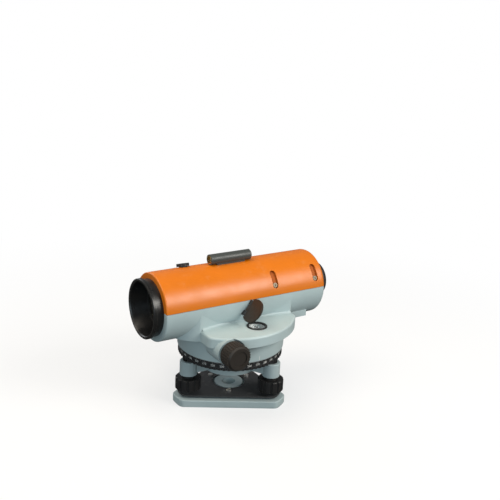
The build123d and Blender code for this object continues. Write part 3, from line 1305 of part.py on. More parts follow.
save("compensator_frame", compensator_frame())
save("fixed_prisms", fixed_prisms())
save("pendulum", pendulum())
save("pendulum_prism", pendulum_prism())
save("suspension_wires", suspension_wires())
save("damping_vane", damping_vane())
save("damping_magnets", damping_magnets())

save("eyepiece_mount", eyepiece_mount())
save("reticle_plate", reticle_plate())
save("eyepiece_cell", eyepiece_cell())
save("eyepiece_lenses", eyepiece_lenses())
save("eyepiece_ring", eyepiece_ring())

save("vial_cup", vial_cup())
save("vial_ring", vial_ring())
save("vial_glass", vial_glass())
save("mirror_frame", mirror_frame())
save("mirror_glass", mirror_glass())
save("mirror_bracket", mirror_bracket())

save("sight_body", sight_body())
save("sight_lenses", sight_lenses())
save("sight_end_ring", sight_end_ring())
save("check_button", check_button())
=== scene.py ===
"""Looks of an automatic level: finishes, small details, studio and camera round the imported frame.

Lengths are metres in the part's own frame: +X along the telescope towards the eyepiece, +Z up,
and -Y the side with the round bubble. Sizes written in millimetres are multiplied by MM.
"""

import logging
import math
from abc import ABC, abstractmethod
from dataclasses import dataclass
from enum import Enum
from functools import cache
from typing import Any, Mapping, Sequence, Union

import bmesh
import bpy
from mathutils import Matrix, Vector


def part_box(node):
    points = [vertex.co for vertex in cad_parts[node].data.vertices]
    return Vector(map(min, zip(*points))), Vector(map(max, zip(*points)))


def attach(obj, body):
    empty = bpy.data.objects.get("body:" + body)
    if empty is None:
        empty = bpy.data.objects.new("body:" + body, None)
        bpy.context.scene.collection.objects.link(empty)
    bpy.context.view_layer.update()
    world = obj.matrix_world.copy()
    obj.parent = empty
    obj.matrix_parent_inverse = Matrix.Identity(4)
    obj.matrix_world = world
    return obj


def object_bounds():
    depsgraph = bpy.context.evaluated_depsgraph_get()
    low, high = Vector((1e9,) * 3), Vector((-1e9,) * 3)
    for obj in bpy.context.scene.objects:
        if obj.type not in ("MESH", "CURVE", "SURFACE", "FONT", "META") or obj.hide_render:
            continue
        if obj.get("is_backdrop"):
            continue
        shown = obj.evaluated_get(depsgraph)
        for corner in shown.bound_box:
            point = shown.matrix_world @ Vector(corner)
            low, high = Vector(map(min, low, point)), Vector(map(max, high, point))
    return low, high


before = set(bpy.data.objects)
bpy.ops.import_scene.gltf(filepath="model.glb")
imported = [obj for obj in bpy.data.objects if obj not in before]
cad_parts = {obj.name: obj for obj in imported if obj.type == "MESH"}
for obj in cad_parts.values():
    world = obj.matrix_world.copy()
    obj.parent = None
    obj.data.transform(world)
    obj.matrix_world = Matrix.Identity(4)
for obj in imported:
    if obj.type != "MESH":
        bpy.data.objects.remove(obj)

LOG = logging.getLogger("automatic_level")
MM = 0.001

Colour = tuple[float, float, float]
Point = tuple[float, float, float]
Operand = Union["Signal", float]
WHITE: Colour = (1.0, 1.0, 1.0)


# Shader maths

class Signal:
    """A number that varies over a surface, with Python's operators as its shader maths."""

    def __init__(self, recipe: "Recipe", socket: bpy.types.NodeSocket) -> None:
        """Wrap one output socket of a recipe's node tree."""
        self.recipe = recipe
        self.socket = socket

    def _maths(self, operation: str, *values: Operand) -> "Signal":
        """Add one Math node and return its value."""
        node = self.recipe.add("ShaderNodeMath", {"operation": operation}, dict(enumerate(values)))
        return Signal(self.recipe, node.outputs[0])

    def __add__(self, other: Operand) -> "Signal":
        """Sum of two values."""
        return self._maths("ADD", self, other)

    __radd__ = __add__

    def __sub__(self, other: Operand) -> "Signal":
        """This value less another."""
        return self._maths("SUBTRACT", self, other)

    def __rsub__(self, other: Operand) -> "Signal":
        """Another value less this one."""
        return self._maths("SUBTRACT", other, self)

    def __mul__(self, other: Operand) -> "Signal":
        """Product of two values."""
        return self._maths("MULTIPLY", self, other)

    __rmul__ = __mul__

    def __pow__(self, power: Operand) -> "Signal":
        """This value raised to a power."""
        return self._maths("POWER", self, power)

    def either(self, other: Operand) -> "Signal":
        """The larger of two values."""
        return self._maths("MAXIMUM", self, other)

    def between(self, low: float, high: float) -> "Signal":
        """Soft step over this value.

        Args:
            low: Value at which the step is still 0.
            high: Value from which the step is 1.

        Returns:
            The step.
        """
        node = self.recipe.add("ShaderNodeMapRange", {"interpolation_type": "SMOOTHSTEP"},
                               {"Value": self, "From Min": low, "From Max": high})
        return Signal(self.recipe, node.outputs["Result"])


class Recipe:
    """Node tree of one finish, with one method that adds any node."""

    def __init__(self, tree: bpy.types.NodeTree) -> None:
        """Start an empty tree."""
        self.tree = tree
        tree.nodes.clear()

    def add(self, kind: str, settings: Mapping[str, Any] | None = None,
            sockets: Mapping[Any, Any] | None = None) -> bpy.types.Node:
        """Add a node.

        Args:
            kind: The node's type.
            settings: Properties that are set before the sockets.
            sockets: Values or links of its inputs, by name or number.

        Returns:
            The new node.
        """
        node = self.tree.nodes.new(kind)
        for name, value in (settings or {}).items():
            setattr(node, name, value)
        for key, value in (sockets or {}).items():
            socket = node.inputs[key]
            if isinstance(value, Signal):
                self.tree.links.new(value.socket, socket)
            elif isinstance(value, bpy.types.NodeSocket):
                self.tree.links.new(value, socket)
            elif isinstance(value, tuple) and len(value) == 3 and socket.type == "RGBA":
                socket.default_value = (*value, 1.0)
            else:
                socket.default_value = value
        return node

    def place(self, part: str | None = None) -> Any:
        """Where on the instrument the point lies.

        Args:
            part: X, Y or Z for one coordinate, or None for the point itself.

        Returns:
            The coordinate as a signal, or the point's socket.
        """
        point = self.add("ShaderNodeTexCoord").outputs["Object"]
        if part is None:
            return point
        return Signal(self, self.add("ShaderNodeSeparateXYZ", {}, {0: point}).outputs[part])

    def noise(self, size: float, detail: float = 3.0, rough: float = 0.55,
              stretch: Point = (1, 1, 1)) -> Signal:
        """Smooth noise around 0.5.

        Args:
            size: Size of its largest grains, in metres.
            detail: Number of finer layers.
            rough: Strength of the finer layers.
            stretch: How often it repeats along X, Y and Z.

        Returns:
            The noise as a signal.
        """
        point = self.add("ShaderNodeMapping", {}, {"Vector": self.place(), "Scale": stretch}).outputs[0]
        node = self.add("ShaderNodeTexNoise", {"noise_dimensions": "3D"},
                        {"Vector": point, "Scale": 1.0 / size, "Detail": detail, "Roughness": rough})
        return Signal(self, node.outputs["Fac"])

    def edges(self, radius: float) -> Signal:
        """How sharply the surface turns.

        Args:
            radius: How far round the point it looks.

        Returns:
            0 on a flat, up to 1 on an edge.
        """
        soft = self.add("ShaderNodeBevel", {"samples": 4}, {"Radius": radius}).outputs["Normal"]
        true = self.add("ShaderNodeNewGeometry").outputs["Normal"]
        dot = self.add("ShaderNodeVectorMath", {"operation": "DOT_PRODUCT"}, {0: soft, 1: true})
        return 1.0 - Signal(self, dot.outputs["Value"])

    def crevices(self, reach: float) -> Signal:
        """How closed in the surface is.

        Args:
            reach: How far from the point a neighbour still counts.

        Returns:
            0 in the open, up to 1 deep in a corner or groove.
        """
        node = self.add("ShaderNodeAmbientOcclusion", {"samples": 4}, {"Distance": reach})
        return 1.0 - Signal(self, node.outputs["AO"])

    def upward(self) -> Signal:
        """How far the surface faces up.

        Returns:
            1 where it faces straight up and 0 where it is upright.
        """
        normal = self.add("ShaderNodeNewGeometry").outputs["Normal"]
        rise = self.add("ShaderNodeSeparateXYZ", {}, {0: normal}).outputs["Z"]
        return Signal(self, rise).between(0.1, 1.0)

    def blend(self, amount: Operand, first: Any, second: Any) -> bpy.types.NodeSocket:
        """Colour between two others.

        Args:
            amount: 0 for the first colour, up to 1 for the second.
            first: Colour or colour socket.
            second: Colour or colour socket.

        Returns:
            The blended colour's socket.
        """
        factor, colour_a, colour_b, result = 0, 6, 7, 2
        node = self.add("ShaderNodeMix", {"data_type": "RGBA"},
                        {factor: amount, colour_a: first, colour_b: second})
        return node.outputs[result]


# Finishes

@dataclass
class Layers:
    """What a finish varies over its surface."""

    colour: Any
    roughness: Operand
    relief: Signal | None = None
    relief_depth: float = 0.05 * MM
    metallic: Operand = 0.0


@dataclass(frozen=True)
class Finish(ABC):
    """A surface finish that can be put on any number of pieces."""

    name: str
    colour: Colour
    roughness: float = 0.4

    @abstractmethod
    def layers(self, recipe: Recipe) -> Layers:
        """Build what varies over the surface.

        Args:
            recipe: Node tree that it is built in.

        Returns:
            The varying colour, roughness, relief and metal.
        """

    def constants(self) -> dict[str, Any]:
        """Shader values that are the same all over the surface."""
        return {}

    def dress(self, *pieces: bpy.types.Object) -> None:
        """Put this finish on pieces."""
        for piece in pieces:
            piece.data.materials.clear()
            piece.data.materials.append(made(self))


def dimmed(colour: Colour, share: float) -> Colour:
    """A colour brought down to a share of its light."""
    return tuple(c * share for c in colour)


@cache
def made(finish: Finish) -> bpy.types.Material:
    """Build a finish's material once.

    Args:
        finish: The finish.

    Returns:
        Its material.
    """
    material = bpy.data.materials.new(finish.name)
    material.use_nodes = True
    recipe = Recipe(material.node_tree)
    layers = finish.layers(recipe)
    sockets = {"Base Color": layers.colour, "Roughness": layers.roughness, "Metallic": layers.metallic}
    if layers.relief is not None:
        bump = recipe.add("ShaderNodeBump", {}, {"Height": layers.relief, "Strength": 1.0,
                                                 "Distance": layers.relief_depth})
        sockets["Normal"] = bump.outputs["Normal"]
    shader = recipe.add("ShaderNodeBsdfPrincipled", {}, sockets | finish.constants())
    recipe.add("ShaderNodeOutputMaterial", {}, {"Surface": shader.outputs[0]})
    return material


@dataclass(frozen=True)
class SprayedPaint(Finish):
    """Satin paint with a faint orange peel, a little dust on top, wear on its edges and painted shade
    in its corners.
    """

    worn: Colour = (0.55, 0.56, 0.55)
    peel: float = 1.1 * MM
    depth: float = 0.02 * MM
    wear: float = 0.5
    settled: float = 0.45
    dust: Colour = (0.62, 0.60, 0.55)
    dusty: float = 0.20
    drifted_shade: float = 0.90
    corner_shade: float = 0.42

    def layers(self, recipe: Recipe) -> Layers:
        """Colour drift, dust, chipped edges, painted shade in corners and the peel of the spray.

        Args:
            recipe: Node tree that it is built in.

        Returns:
            The paint's layers.
        """
        drift = recipe.noise(35 * MM, 4.0).between(0.25, 0.75)
        colour = recipe.blend(drift, self.colour, dimmed(self.colour, self.drifted_shade))
        grime = recipe.noise(9 * MM, 6.0, 0.65).between(0.52, 0.80) * recipe.upward() * self.dusty
        colour = recipe.blend(grime, colour, self.dust)
        # Painted shade: the paint's colour is darkened where the surface is closed in, in corners and
        # grooves.
        closed = recipe.crevices(4 * MM) + recipe.noise(5 * MM, 4.0) * 0.2
        corners = closed.between(0.25, 0.95) * self.settled
        colour = recipe.blend(corners, colour, dimmed(self.colour, self.corner_shade))
        ragged = recipe.edges(0.35 * MM) + recipe.noise(1.6 * MM, 5.0, 0.7) * 0.12
        chips = ragged.between(0.16, 0.26) * self.wear
        colour = recipe.blend(chips, colour, self.worn)
        haze = recipe.noise(14 * MM, 5.0).between(0.35, 0.70) * 0.07
        relief = recipe.noise(self.peel, 2.0) + recipe.noise(0.25 * MM, 2.0) * 0.25
        return Layers(colour, haze + grime + self.roughness, relief, self.depth, chips * 0.6)


@dataclass(frozen=True)
class CoverPaint(SprayedPaint):
    """Cover paint with painted shade down in the screw recesses."""

    axis_height: float = 104 * MM
    skin_radius: float = 31.6 * MM
    recess_shade: Colour = (0.40, 0.085, 0.001)
    recess_span: tuple[float, float] = (22 * MM, 84 * MM)
    recess_depth: float = 0.8 * MM
    recess_dull: float = 0.35

    def layers(self, recipe: Recipe) -> Layers:
        """Sprayed layers, with painted shade in the recesses by distance from the telescope axis.

        Args:
            recipe: Node tree that it is built in.

        Returns:
            The cover's layers.
        """
        layers = super().layers(recipe)
        rise = recipe.place("Z") - self.axis_height
        radius = (recipe.place("Y") ** 2.0 + rise ** 2.0) ** 0.5
        deep = 1.0 - radius.between(self.skin_radius - self.recess_depth, self.skin_radius)
        along = recipe.place("X")
        first, last = self.recess_span
        recess = deep * along.between(first - MM, first) * (1.0 - along.between(last, last + MM))
        # Painted shade: the paint is darkened down in the screw recesses, by depth below the cover's
        # skin.
        layers.colour = recipe.blend(recess, layers.colour, self.recess_shade)
        layers.roughness = recess * self.recess_dull + layers.roughness
        return layers


@dataclass(frozen=True)
class MouldedPlastic(Finish):
    """Moulded plastic with a fine spark-eroded grain, rubbed brighter on its edges."""

    rubbed: Colour = (0.10, 0.10, 0.10)
    grain: float = 0.28 * MM
    depth: float = 0.03 * MM
    dust: float = 0.25
    dust_colour: Colour = (0.38, 0.36, 0.32)

    def layers(self, recipe: Recipe) -> Layers:
        """Grain, rubbed edges and dust on top.

        Args:
            recipe: Node tree that it is built in.

        Returns:
            The plastic's layers.
        """
        rub = (recipe.edges(0.4 * MM) + recipe.noise(1.2 * MM, 4.0) * 0.10).between(0.10, 0.30)
        colour = recipe.blend(rub * 0.55, self.colour, self.rubbed)
        specks = recipe.noise(3 * MM, 7.0, 0.75).between(0.60, 0.78) * recipe.upward() * self.dust
        colour = recipe.blend(specks, colour, self.dust_colour)
        drift = recipe.noise(11 * MM, 4.0).between(0.3, 0.7) * 0.10
        relief = recipe.noise(self.grain, 2.0, 0.6)
        return Layers(colour, drift + specks * 0.4 + self.roughness - rub * 0.10, relief, self.depth)


class Cut(Enum):
    """Axis about which a metal piece was turned."""

    ALONG = "X"
    ACROSS = "Y"
    UPRIGHT = "Z"


@dataclass(frozen=True)
class TurnedMetal(Finish):
    """Bare or plated metal with fine tool lines round the axis that it was turned about."""

    axis: Cut = Cut.UPRIGHT
    lines: float = 0.18 * MM
    tarnish: Colour = (0.30, 0.26, 0.20)
    tarnished: float = 0.25
    depth: float = 0.006 * MM

    def layers(self, recipe: Recipe) -> Layers:
        """Tool lines, drifting gloss and tarnish.

        Args:
            recipe: Node tree that it is built in.

        Returns:
            The metal's layers.
        """
        along = tuple(1.0 if a.value == self.axis.value else 0.04 for a in Cut)
        scratch = recipe.noise(self.lines, 2.0, 0.6, along)
        spots = recipe.noise(4 * MM, 6.0, 0.7).between(0.50, 0.75) * self.tarnished
        colour = recipe.blend(spots, self.colour, self.tarnish)
        return Layers(colour, scratch * 0.16 + spots * 0.4 + self.roughness, scratch, self.depth, 1.0)


@dataclass(frozen=True)
class BlackedMetal(Finish):
    """Black anodised metal, turned, with bright metal just showing on its edges."""

    axis: Cut = Cut.ALONG
    bright: Colour = (0.42, 0.42, 0.40)
    depth: float = 0.012 * MM

    def layers(self, recipe: Recipe) -> Layers:
        """Turning lines, handled gloss and worn edges.

        Args:
            recipe: Node tree that it is built in.

        Returns:
            The metal's layers.
        """
        along = tuple(1.0 if a.value == self.axis.value else 0.03 for a in Cut)
        rings = recipe.noise(0.35 * MM, 3.0, 0.6, along)
        wear = (recipe.edges(0.3 * MM) + recipe.noise(2 * MM, 5.0, 0.7) * 0.14).between(0.15, 0.30)
        smears = recipe.noise(12 * MM, 5.0, 0.6).between(0.35, 0.70)
        colour = recipe.blend(wear * 0.45, self.colour, self.bright)
        roughness = smears * 0.14 + rings * 0.06 + self.roughness
        return Layers(colour, roughness, rings, self.depth, wear * 0.5)


@dataclass(frozen=True)
class Glass(Finish):
    """Polished glass, tinted or coated, with a trace of wiped dust."""

    index: float = 1.52
    coating: Colour = WHITE
    clear: float = 0.0

    def layers(self, recipe: Recipe) -> Layers:
        """Faint smears from wiping."""
        smears = recipe.noise(6 * MM, 5.0, 0.6).between(0.55, 0.85) * 0.05
        return Layers(self.colour, smears + self.roughness)

    def constants(self) -> dict[str, Any]:
        """Clear body with the coating's tint in its reflection."""
        return {"Transmission Weight": 1.0, "IOR": self.index, "Specular Tint": self.coating,
                "Alpha": 1.0 - self.clear}


@dataclass(frozen=True)
class Silvered(Finish):
    """Silvered mirror, faintly clouded."""

    clouded: Colour = (0.35, 0.36, 0.36)

    def layers(self, recipe: Recipe) -> Layers:
        """Clean silver with faint clouding.

        Args:
            recipe: Node tree that it is built in.

        Returns:
            The silver's layers.
        """
        cloud = recipe.noise(5 * MM, 6.0, 0.7).between(0.60, 0.85)
        colour = recipe.blend(cloud * 0.25, self.colour, self.clouded)
        return Layers(colour, cloud * 0.15 + self.roughness, metallic=1.0)


@dataclass(frozen=True)
class PrintedInk(Finish):
    """Thin matt ink, a little uneven."""

    thin: Colour = (0.45, 0.45, 0.44)

    def layers(self, recipe: Recipe) -> Layers:
        """Uneven ink."""
        uneven = recipe.noise(0.6 * MM, 3.0).between(0.3, 0.7)
        return Layers(recipe.blend(uneven * 0.3, self.colour, self.thin), self.roughness)


class Coat(Enum):
    """Every finish on the instrument."""

    COVER = CoverPaint("orange_cover_paint", (0.70, 0.172, 0.002), 0.35, worn=(0.95, 0.50, 0.20),
                       wear=0.3, settled=0.3, dust=(0.85, 0.42, 0.18))
    BODY = SprayedPaint("grey_body_paint", (0.445, 0.542, 0.550), 0.42)
    CASTING = SprayedPaint("grey_base_paint", (0.42, 0.505, 0.512), 0.50, peel=0.7 * MM,
                           depth=0.035 * MM, wear=0.7)
    KNOB = MouldedPlastic("black_knob_plastic", (0.012, 0.011, 0.011), 0.42)
    DRIVE_KNOB = MouldedPlastic("brown_black_rubber", (0.020, 0.015, 0.011), 0.50,
                                rubbed=(0.10, 0.085, 0.065))
    MIRROR_BACK = MouldedPlastic("mirror_back_plastic", (0.024, 0.015, 0.008), 0.45,
                                 rubbed=(0.012, 0.012, 0.012))
    SIGHT = MouldedPlastic("grey_sight_plastic", (0.050, 0.057, 0.054), 0.40, rubbed=(0.20, 0.22, 0.23))
    EYE_RING = MouldedPlastic("eyepiece_ring_rubber", (0.016, 0.015, 0.015), 0.50)
    BARREL = BlackedMetal("black_barrel_anodising", (0.006, 0.006, 0.006), 0.24)
    MOUNT = BlackedMetal("black_mount_anodising", (0.014, 0.014, 0.014), 0.36)
    BAFFLE = BlackedMetal("matt_black_baffle", (0.008, 0.008, 0.008), 0.60)
    PLATE = SprayedPaint("black_spring_plate_paint", (0.035, 0.036, 0.038), 0.45,
                         worn=(0.45, 0.45, 0.44))
    CIRCLE = BlackedMetal("black_circle_anodising", (0.016, 0.016, 0.017), 0.34, axis=Cut.UPRIGHT)
    STEEL = TurnedMetal("turned_steel", (0.60, 0.60, 0.58), 0.24)
    STEEL_ALONG = TurnedMetal("turned_steel_cross_shaft", (0.60, 0.60, 0.58), 0.24, axis=Cut.ACROSS)
    SCREWS = TurnedMetal("bright_screw_steel", (0.72, 0.71, 0.68), 0.22, tarnished=0.15)
    HINGE = MouldedPlastic("black_hinge_metal", (0.020, 0.019, 0.018), 0.35, rubbed=(0.20, 0.19, 0.18))
    # Painted shade and reflection: the screw heads' colour is darkened for the shadow in their recesses
    # and warmed for the orange cover that they reflect.
    COVER_SCREWS = TurnedMetal("screw_heads_painted_shade", (0.17, 0.145, 0.11), 0.40, tarnished=0.5)
    BRONZE = TurnedMetal("bearing_bronze", (0.60, 0.38, 0.17), 0.30)
    BRASS = TurnedMetal("turned_brass", (0.76, 0.56, 0.22), 0.22, axis=Cut.ALONG)
    COPPER = TurnedMetal("damping_copper", (0.72, 0.36, 0.22), 0.28)
    ALUMINIUM = TurnedMetal("satin_aluminium", (0.70, 0.71, 0.72), 0.32, tarnished=0.1)
    GASKET = MouldedPlastic("gasket_rubber", (0.03, 0.03, 0.03), 0.6)
    OBJECTIVE = Glass("coated_objective_glass", (0.93, 0.97, 0.92), 0.0, index=1.62,
                      coating=(1.0, 0.72, 0.30))
    LENSES = Glass("lens_glass", (0.96, 0.98, 0.97), 0.0)
    VIAL = Glass("vial_glass_and_spirit", (0.95, 0.99, 0.96), 0.0, index=1.40, clear=0.88)
    BUBBLE = Glass("air_bubble", WHITE, 0.0, index=0.72, clear=0.25)
    VIAL_FLOOR = PrintedInk("white_vial_floor", (0.92, 0.96, 0.95), 0.5)
    MIRROR = Silvered("silvered_glass", (0.86, 0.88, 0.89), 0.02)
    WHITE_INK = PrintedInk("white_scale_ink", (0.82, 0.82, 0.78), 0.55)
    BLACK_INK = PrintedInk("black_mark_ink", (0.02, 0.02, 0.02), 0.5)

    def dress(self, *names: str) -> None:
        """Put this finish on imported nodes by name."""
        self.value.dress(*(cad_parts[name] for name in names))
        LOG.info("%s on %s", self.value.name, ", ".join(names))


# Small pieces made as meshes

class Maker:
    """Turns faces into finished pieces that ride on a body."""

    def __init__(self, name: str, body: str, coat: Coat, slot: str) -> None:
        """Start an empty piece.

        Args:
            name: Name of the piece.
            body: Body that it rides on.
            coat: Its finish.
            slot: Material slot of the record that the finish stands for; it is kept but not used.
        """
        self.name, self.body, self.coat, self.slot = name, body, coat, slot
        self.mesh = bmesh.new()

    def ring(self, centre: Vector, radius: float, wire: float, turns: int = 72,
             sides: int = 10) -> None:
        """Add a round wire ring that lies flat.

        Args:
            centre: Its centre.
            radius: Radius of the ring.
            wire: Radius of the wire.
            turns: Points round the ring.
            sides: Points round the wire.
        """
        rows = []
        for i in range(turns):
            angle = 2 * math.pi * i / turns
            out = Vector((math.cos(angle), math.sin(angle), 0))
            row = []
            for k in range(sides):
                tilt = 2 * math.pi * k / sides
                row.append(self.mesh.verts.new(centre + out * (radius + wire * math.cos(tilt))
                                               + Vector((0, 0, wire * math.sin(tilt)))))
            rows.append(row)
        self.skin(rows, closed=True)

    def skin(self, rows: Sequence[Sequence[bmesh.types.BMVert]], closed: bool) -> None:
        """Join rows of points into one surface.

        Args:
            rows: Closed loops with equally many points each.
            closed: Whether the last row joins the first.
        """
        count = len(rows)
        for i in range(count if closed else count - 1):
            here, there = rows[i], rows[(i + 1) % count]
            for k in range(len(here)):
                n = (k + 1) % len(here)
                self.mesh.faces.new((here[k], there[k], there[n], here[n]))

    def turned(self, centre: Vector, outline: Sequence[tuple[float, float]], turns: int = 64) -> None:
        """Add a closed body of revolution about an upright line.

        Args:
            centre: Point that heights are counted from.
            outline: Points of its outline, as radius and height.
            turns: Points round it.
        """
        rows = []
        for i in range(turns):
            angle = 2 * math.pi * i / turns
            out = Vector((math.cos(angle), math.sin(angle), 0))
            rows.append([self.mesh.verts.new(centre + out * r + Vector((0, 0, z))) for r, z in outline])
        self.skin(rows, closed=True)

    def slab(self, corners: Sequence[Vector], thick: Vector) -> None:
        """Add a slab.

        Args:
            corners: The four corners of one face.
            thick: From that face to the opposite one.
        """
        low = [self.mesh.verts.new(c) for c in corners]
        high = [self.mesh.verts.new(c + thick) for c in corners]
        self.mesh.faces.new(low[::-1])
        self.mesh.faces.new(high)
        for i in range(4):
            n = (i + 1) % 4
            self.mesh.faces.new((low[i], low[n], high[n], high[i]))

    def finish(self, smooth: bool = True) -> bpy.types.Object:
        """Close the piece, dress it and let it ride on its body.

        Args:
            smooth: Whether its faces are shaded smooth.

        Returns:
            The piece.
        """
        bmesh.ops.recalc_face_normals(self.mesh, faces=self.mesh.faces)
        data = bpy.data.meshes.new(self.name)
        self.mesh.to_mesh(data)
        self.mesh.free()
        for face in data.polygons:
            face.use_smooth = smooth
        piece = bpy.data.objects.new(self.name, data)
        bpy.context.scene.collection.objects.link(piece)
        self.coat.value.dress(piece)
        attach(piece, self.body)
        LOG.info("%s: %d faces, rides on %s", self.name, len(data.polygons), self.body)
        return piece


def middle(node: str) -> Vector:
    """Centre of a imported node's box."""
    low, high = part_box(node)
    return (low + high) / 2


# Sub-assemblies

@dataclass
class Casing:
    """Cover, body and what holds them together."""

    lid_inset: float = 2.0 * MM
    drum_flare: float = 1.5 / 22.0
    index_rise: float = 0.6 * MM
    index_length: float = 4.5 * MM
    index_width: float = 0.4 * MM
    ink: float = 0.12 * MM

    def build(self) -> None:
        """Dress the casing's castings and screws."""
        Coat.COVER.dress("upper_cover")
        Coat.BODY.dress("main_body")
        Coat.GASKET.dress("cover_gasket")
        Coat.COVER_SCREWS.dress("casing_screws")
        Coat.ALUMINIUM.dress("drum_lid")
        self.index_mark()

    def index_mark(self) -> None:
        """White index line on the drum, over the circle's scale."""
        lid_low, lid_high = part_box("drum_lid")
        rim = lid_high.x + self.lid_inset
        bottom = lid_low.z + self.index_rise
        maker = Maker("circle_index_line", "alidade", Coat.WHITE_INK, "circle_scale")
        corners = []
        for side, up in ((-1, 0), (1, 0), (1, 1), (-1, 1)):
            height = up * self.index_length
            reach = rim + (self.index_rise + height) * self.drum_flare
            across = side * self.index_width / 2
            corners.append(Vector((across, self.ink / 2 - reach, bottom + height)))
        maker.slab(corners, Vector((0, -self.ink, 0)))
        maker.finish(smooth=False)


@dataclass
class Objective:
    """Front barrel with its lens."""

    def build(self) -> None:
        """Dress the barrel, the lock ring and the coated lens."""
        Coat.BARREL.dress("objective_barrel", "objective_retainer")
        Coat.OBJECTIVE.dress("objective_lens")


@dataclass
class Focusing:
    """Focus knob, pinion, rack and the sliding lens."""

    def build(self) -> None:
        """Dress the focusing train."""
        Coat.KNOB.dress("focus_knob")
        Coat.STEEL_ALONG.dress("focus_pinion_shaft")
        Coat.BRASS.dress("focus_rack")
        Coat.BAFFLE.dress("focus_cell", "focus_guide")
        Coat.LENSES.dress("focus_lens")


@dataclass
class Compensator:
    """Prisms, hanging yoke, wires and damper."""

    def build(self) -> None:
        """Dress the compensator."""
        Coat.ALUMINIUM.dress("compensator_frame")
        Coat.BRASS.dress("pendulum")
        Coat.LENSES.dress("fixed_prisms", "pendulum_prism")
        Coat.STEEL.dress("suspension_wires", "damping_magnets")
        Coat.COPPER.dress("damping_vane")


@dataclass
class Eyepiece:
    """Reticle, eyepiece and its focusing ring."""

    line: float = 0.02 * MM
    reach: float = 7.5 * MM
    stadia: float = 2.2 * MM
    stadia_reach: float = 1.875 * MM
    etched: float = 0.01 * MM

    def build(self) -> None:
        """Dress the eyepiece and rule the reticle."""
        Coat.MOUNT.dress("eyepiece_mount", "eyepiece_cell")
        Coat.EYE_RING.dress("eyepiece_ring")
        Coat.LENSES.dress("reticle_plate", "eyepiece_lenses")
        self.reticle_lines()

    def reticle_lines(self) -> None:
        """Cross lines and two stadia lines on the rear face of the reticle plate."""
        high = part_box("reticle_plate")[1]
        centre = Vector((high.x + self.etched / 2, 0, middle("reticle_plate").z))
        maker = Maker("reticle_lines", "alidade", Coat.BLACK_INK, "black_metal")
        spans = [(0, self.reach, 0, self.line), (0, self.line, 0, self.reach),
                 (0, self.stadia_reach, self.stadia, self.line),
                 (0, self.stadia_reach, -self.stadia, self.line)]
        for y, half_y, z, half_z in spans:
            corners = [centre + Vector((0, y + a * half_y, z + b * half_z))
                       for a, b in ((-1, -1), (1, -1), (1, 1), (-1, 1))]
            maker.slab(corners, Vector((self.etched, 0, 0)))
        maker.finish(smooth=False)


@dataclass
class Bubble:
    """Round bubble in the deck."""

    air_radius: float = 2.4 * MM
    air_thick: float = 0.9 * MM
    mark_radius: float = 3.3 * MM
    mark_wire: float = 0.13 * MM
    mark_below: float = 0.08 * MM
    air_shift: tuple[float, float] = (0.3 * MM, 0.2 * MM)
    air_below: float = 0.75 * MM
    air_core: float = 0.02 * MM
    air_steps: int = 10

    def build(self) -> None:
        """Dress the vial and put the air bubble and the ring mark in it."""
        Coat.VIAL_FLOOR.dress("vial_cup")
        Coat.KNOB.dress("vial_ring")
        Coat.VIAL.dress("vial_glass")
        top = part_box("vial_glass")[1].z
        centre = middle("vial_glass")
        along, across = self.air_shift
        self.air(Vector((centre.x + along, centre.y + across, top - self.air_below)))
        mark = Maker("bubble_ring_mark", "alidade", Coat.BLACK_INK, "black_metal")
        mark.ring(Vector((centre.x, centre.y, top - self.mark_below)), self.mark_radius, self.mark_wire)
        mark.finish()

    def air(self, centre: Vector) -> None:
        """Make the flat lens-shaped air bubble under the dome.

        Args:
            centre: Its centre.
        """
        maker = Maker("air_bubble", "alidade", Coat.BUBBLE, "vial_glass")
        half = self.air_thick / 2
        outline = []
        for i in range(self.air_steps + 1):
            tilt = -math.pi / 2 + math.pi * i / self.air_steps
            reach = self.air_radius * math.cos(tilt) ** 0.7 + self.air_core
            outline.append((reach, half * math.sin(tilt)))
        maker.turned(centre, outline)
        maker.finish()


@dataclass
class BubbleMirror:
    """Folding mirror over the bubble."""

    def build(self) -> None:
        """Dress the mirror and its hinge."""
        Coat.MIRROR_BACK.dress("mirror_frame")
        Coat.MIRROR.dress("mirror_glass")
        Coat.HINGE.dress("mirror_bracket")


@dataclass
class Sight:
    """Sighting tube and check button on top."""

    def build(self) -> None:
        """Dress the sight and the button."""
        Coat.SIGHT.dress("sight_body")
        Coat.LENSES.dress("sight_lenses")
        Coat.BRASS.dress("sight_end_ring")
        Coat.KNOB.dress("check_button")


@dataclass
class SlowMotion:
    """Endless horizontal drive."""

    def build(self) -> None:
        """Dress the worm, its wheel and both knobs."""
        Coat.DRIVE_KNOB.dress("left_drive_knob", "right_drive_knob")
        Coat.STEEL_ALONG.dress("worm_shaft")
        Coat.BRONZE.dress("worm_wheel", "shaft_bushes")


@dataclass
class VerticalAxis:
    """Spindle, bearing and clutch."""

    def build(self) -> None:
        """Dress the axis."""
        Coat.STEEL.dress("spindle", "spindle_nut", "clutch_spring")
        Coat.BRONZE.dress("axis_bushes", "friction_washers")
        Coat.BRASS.dress("clutch_nut")


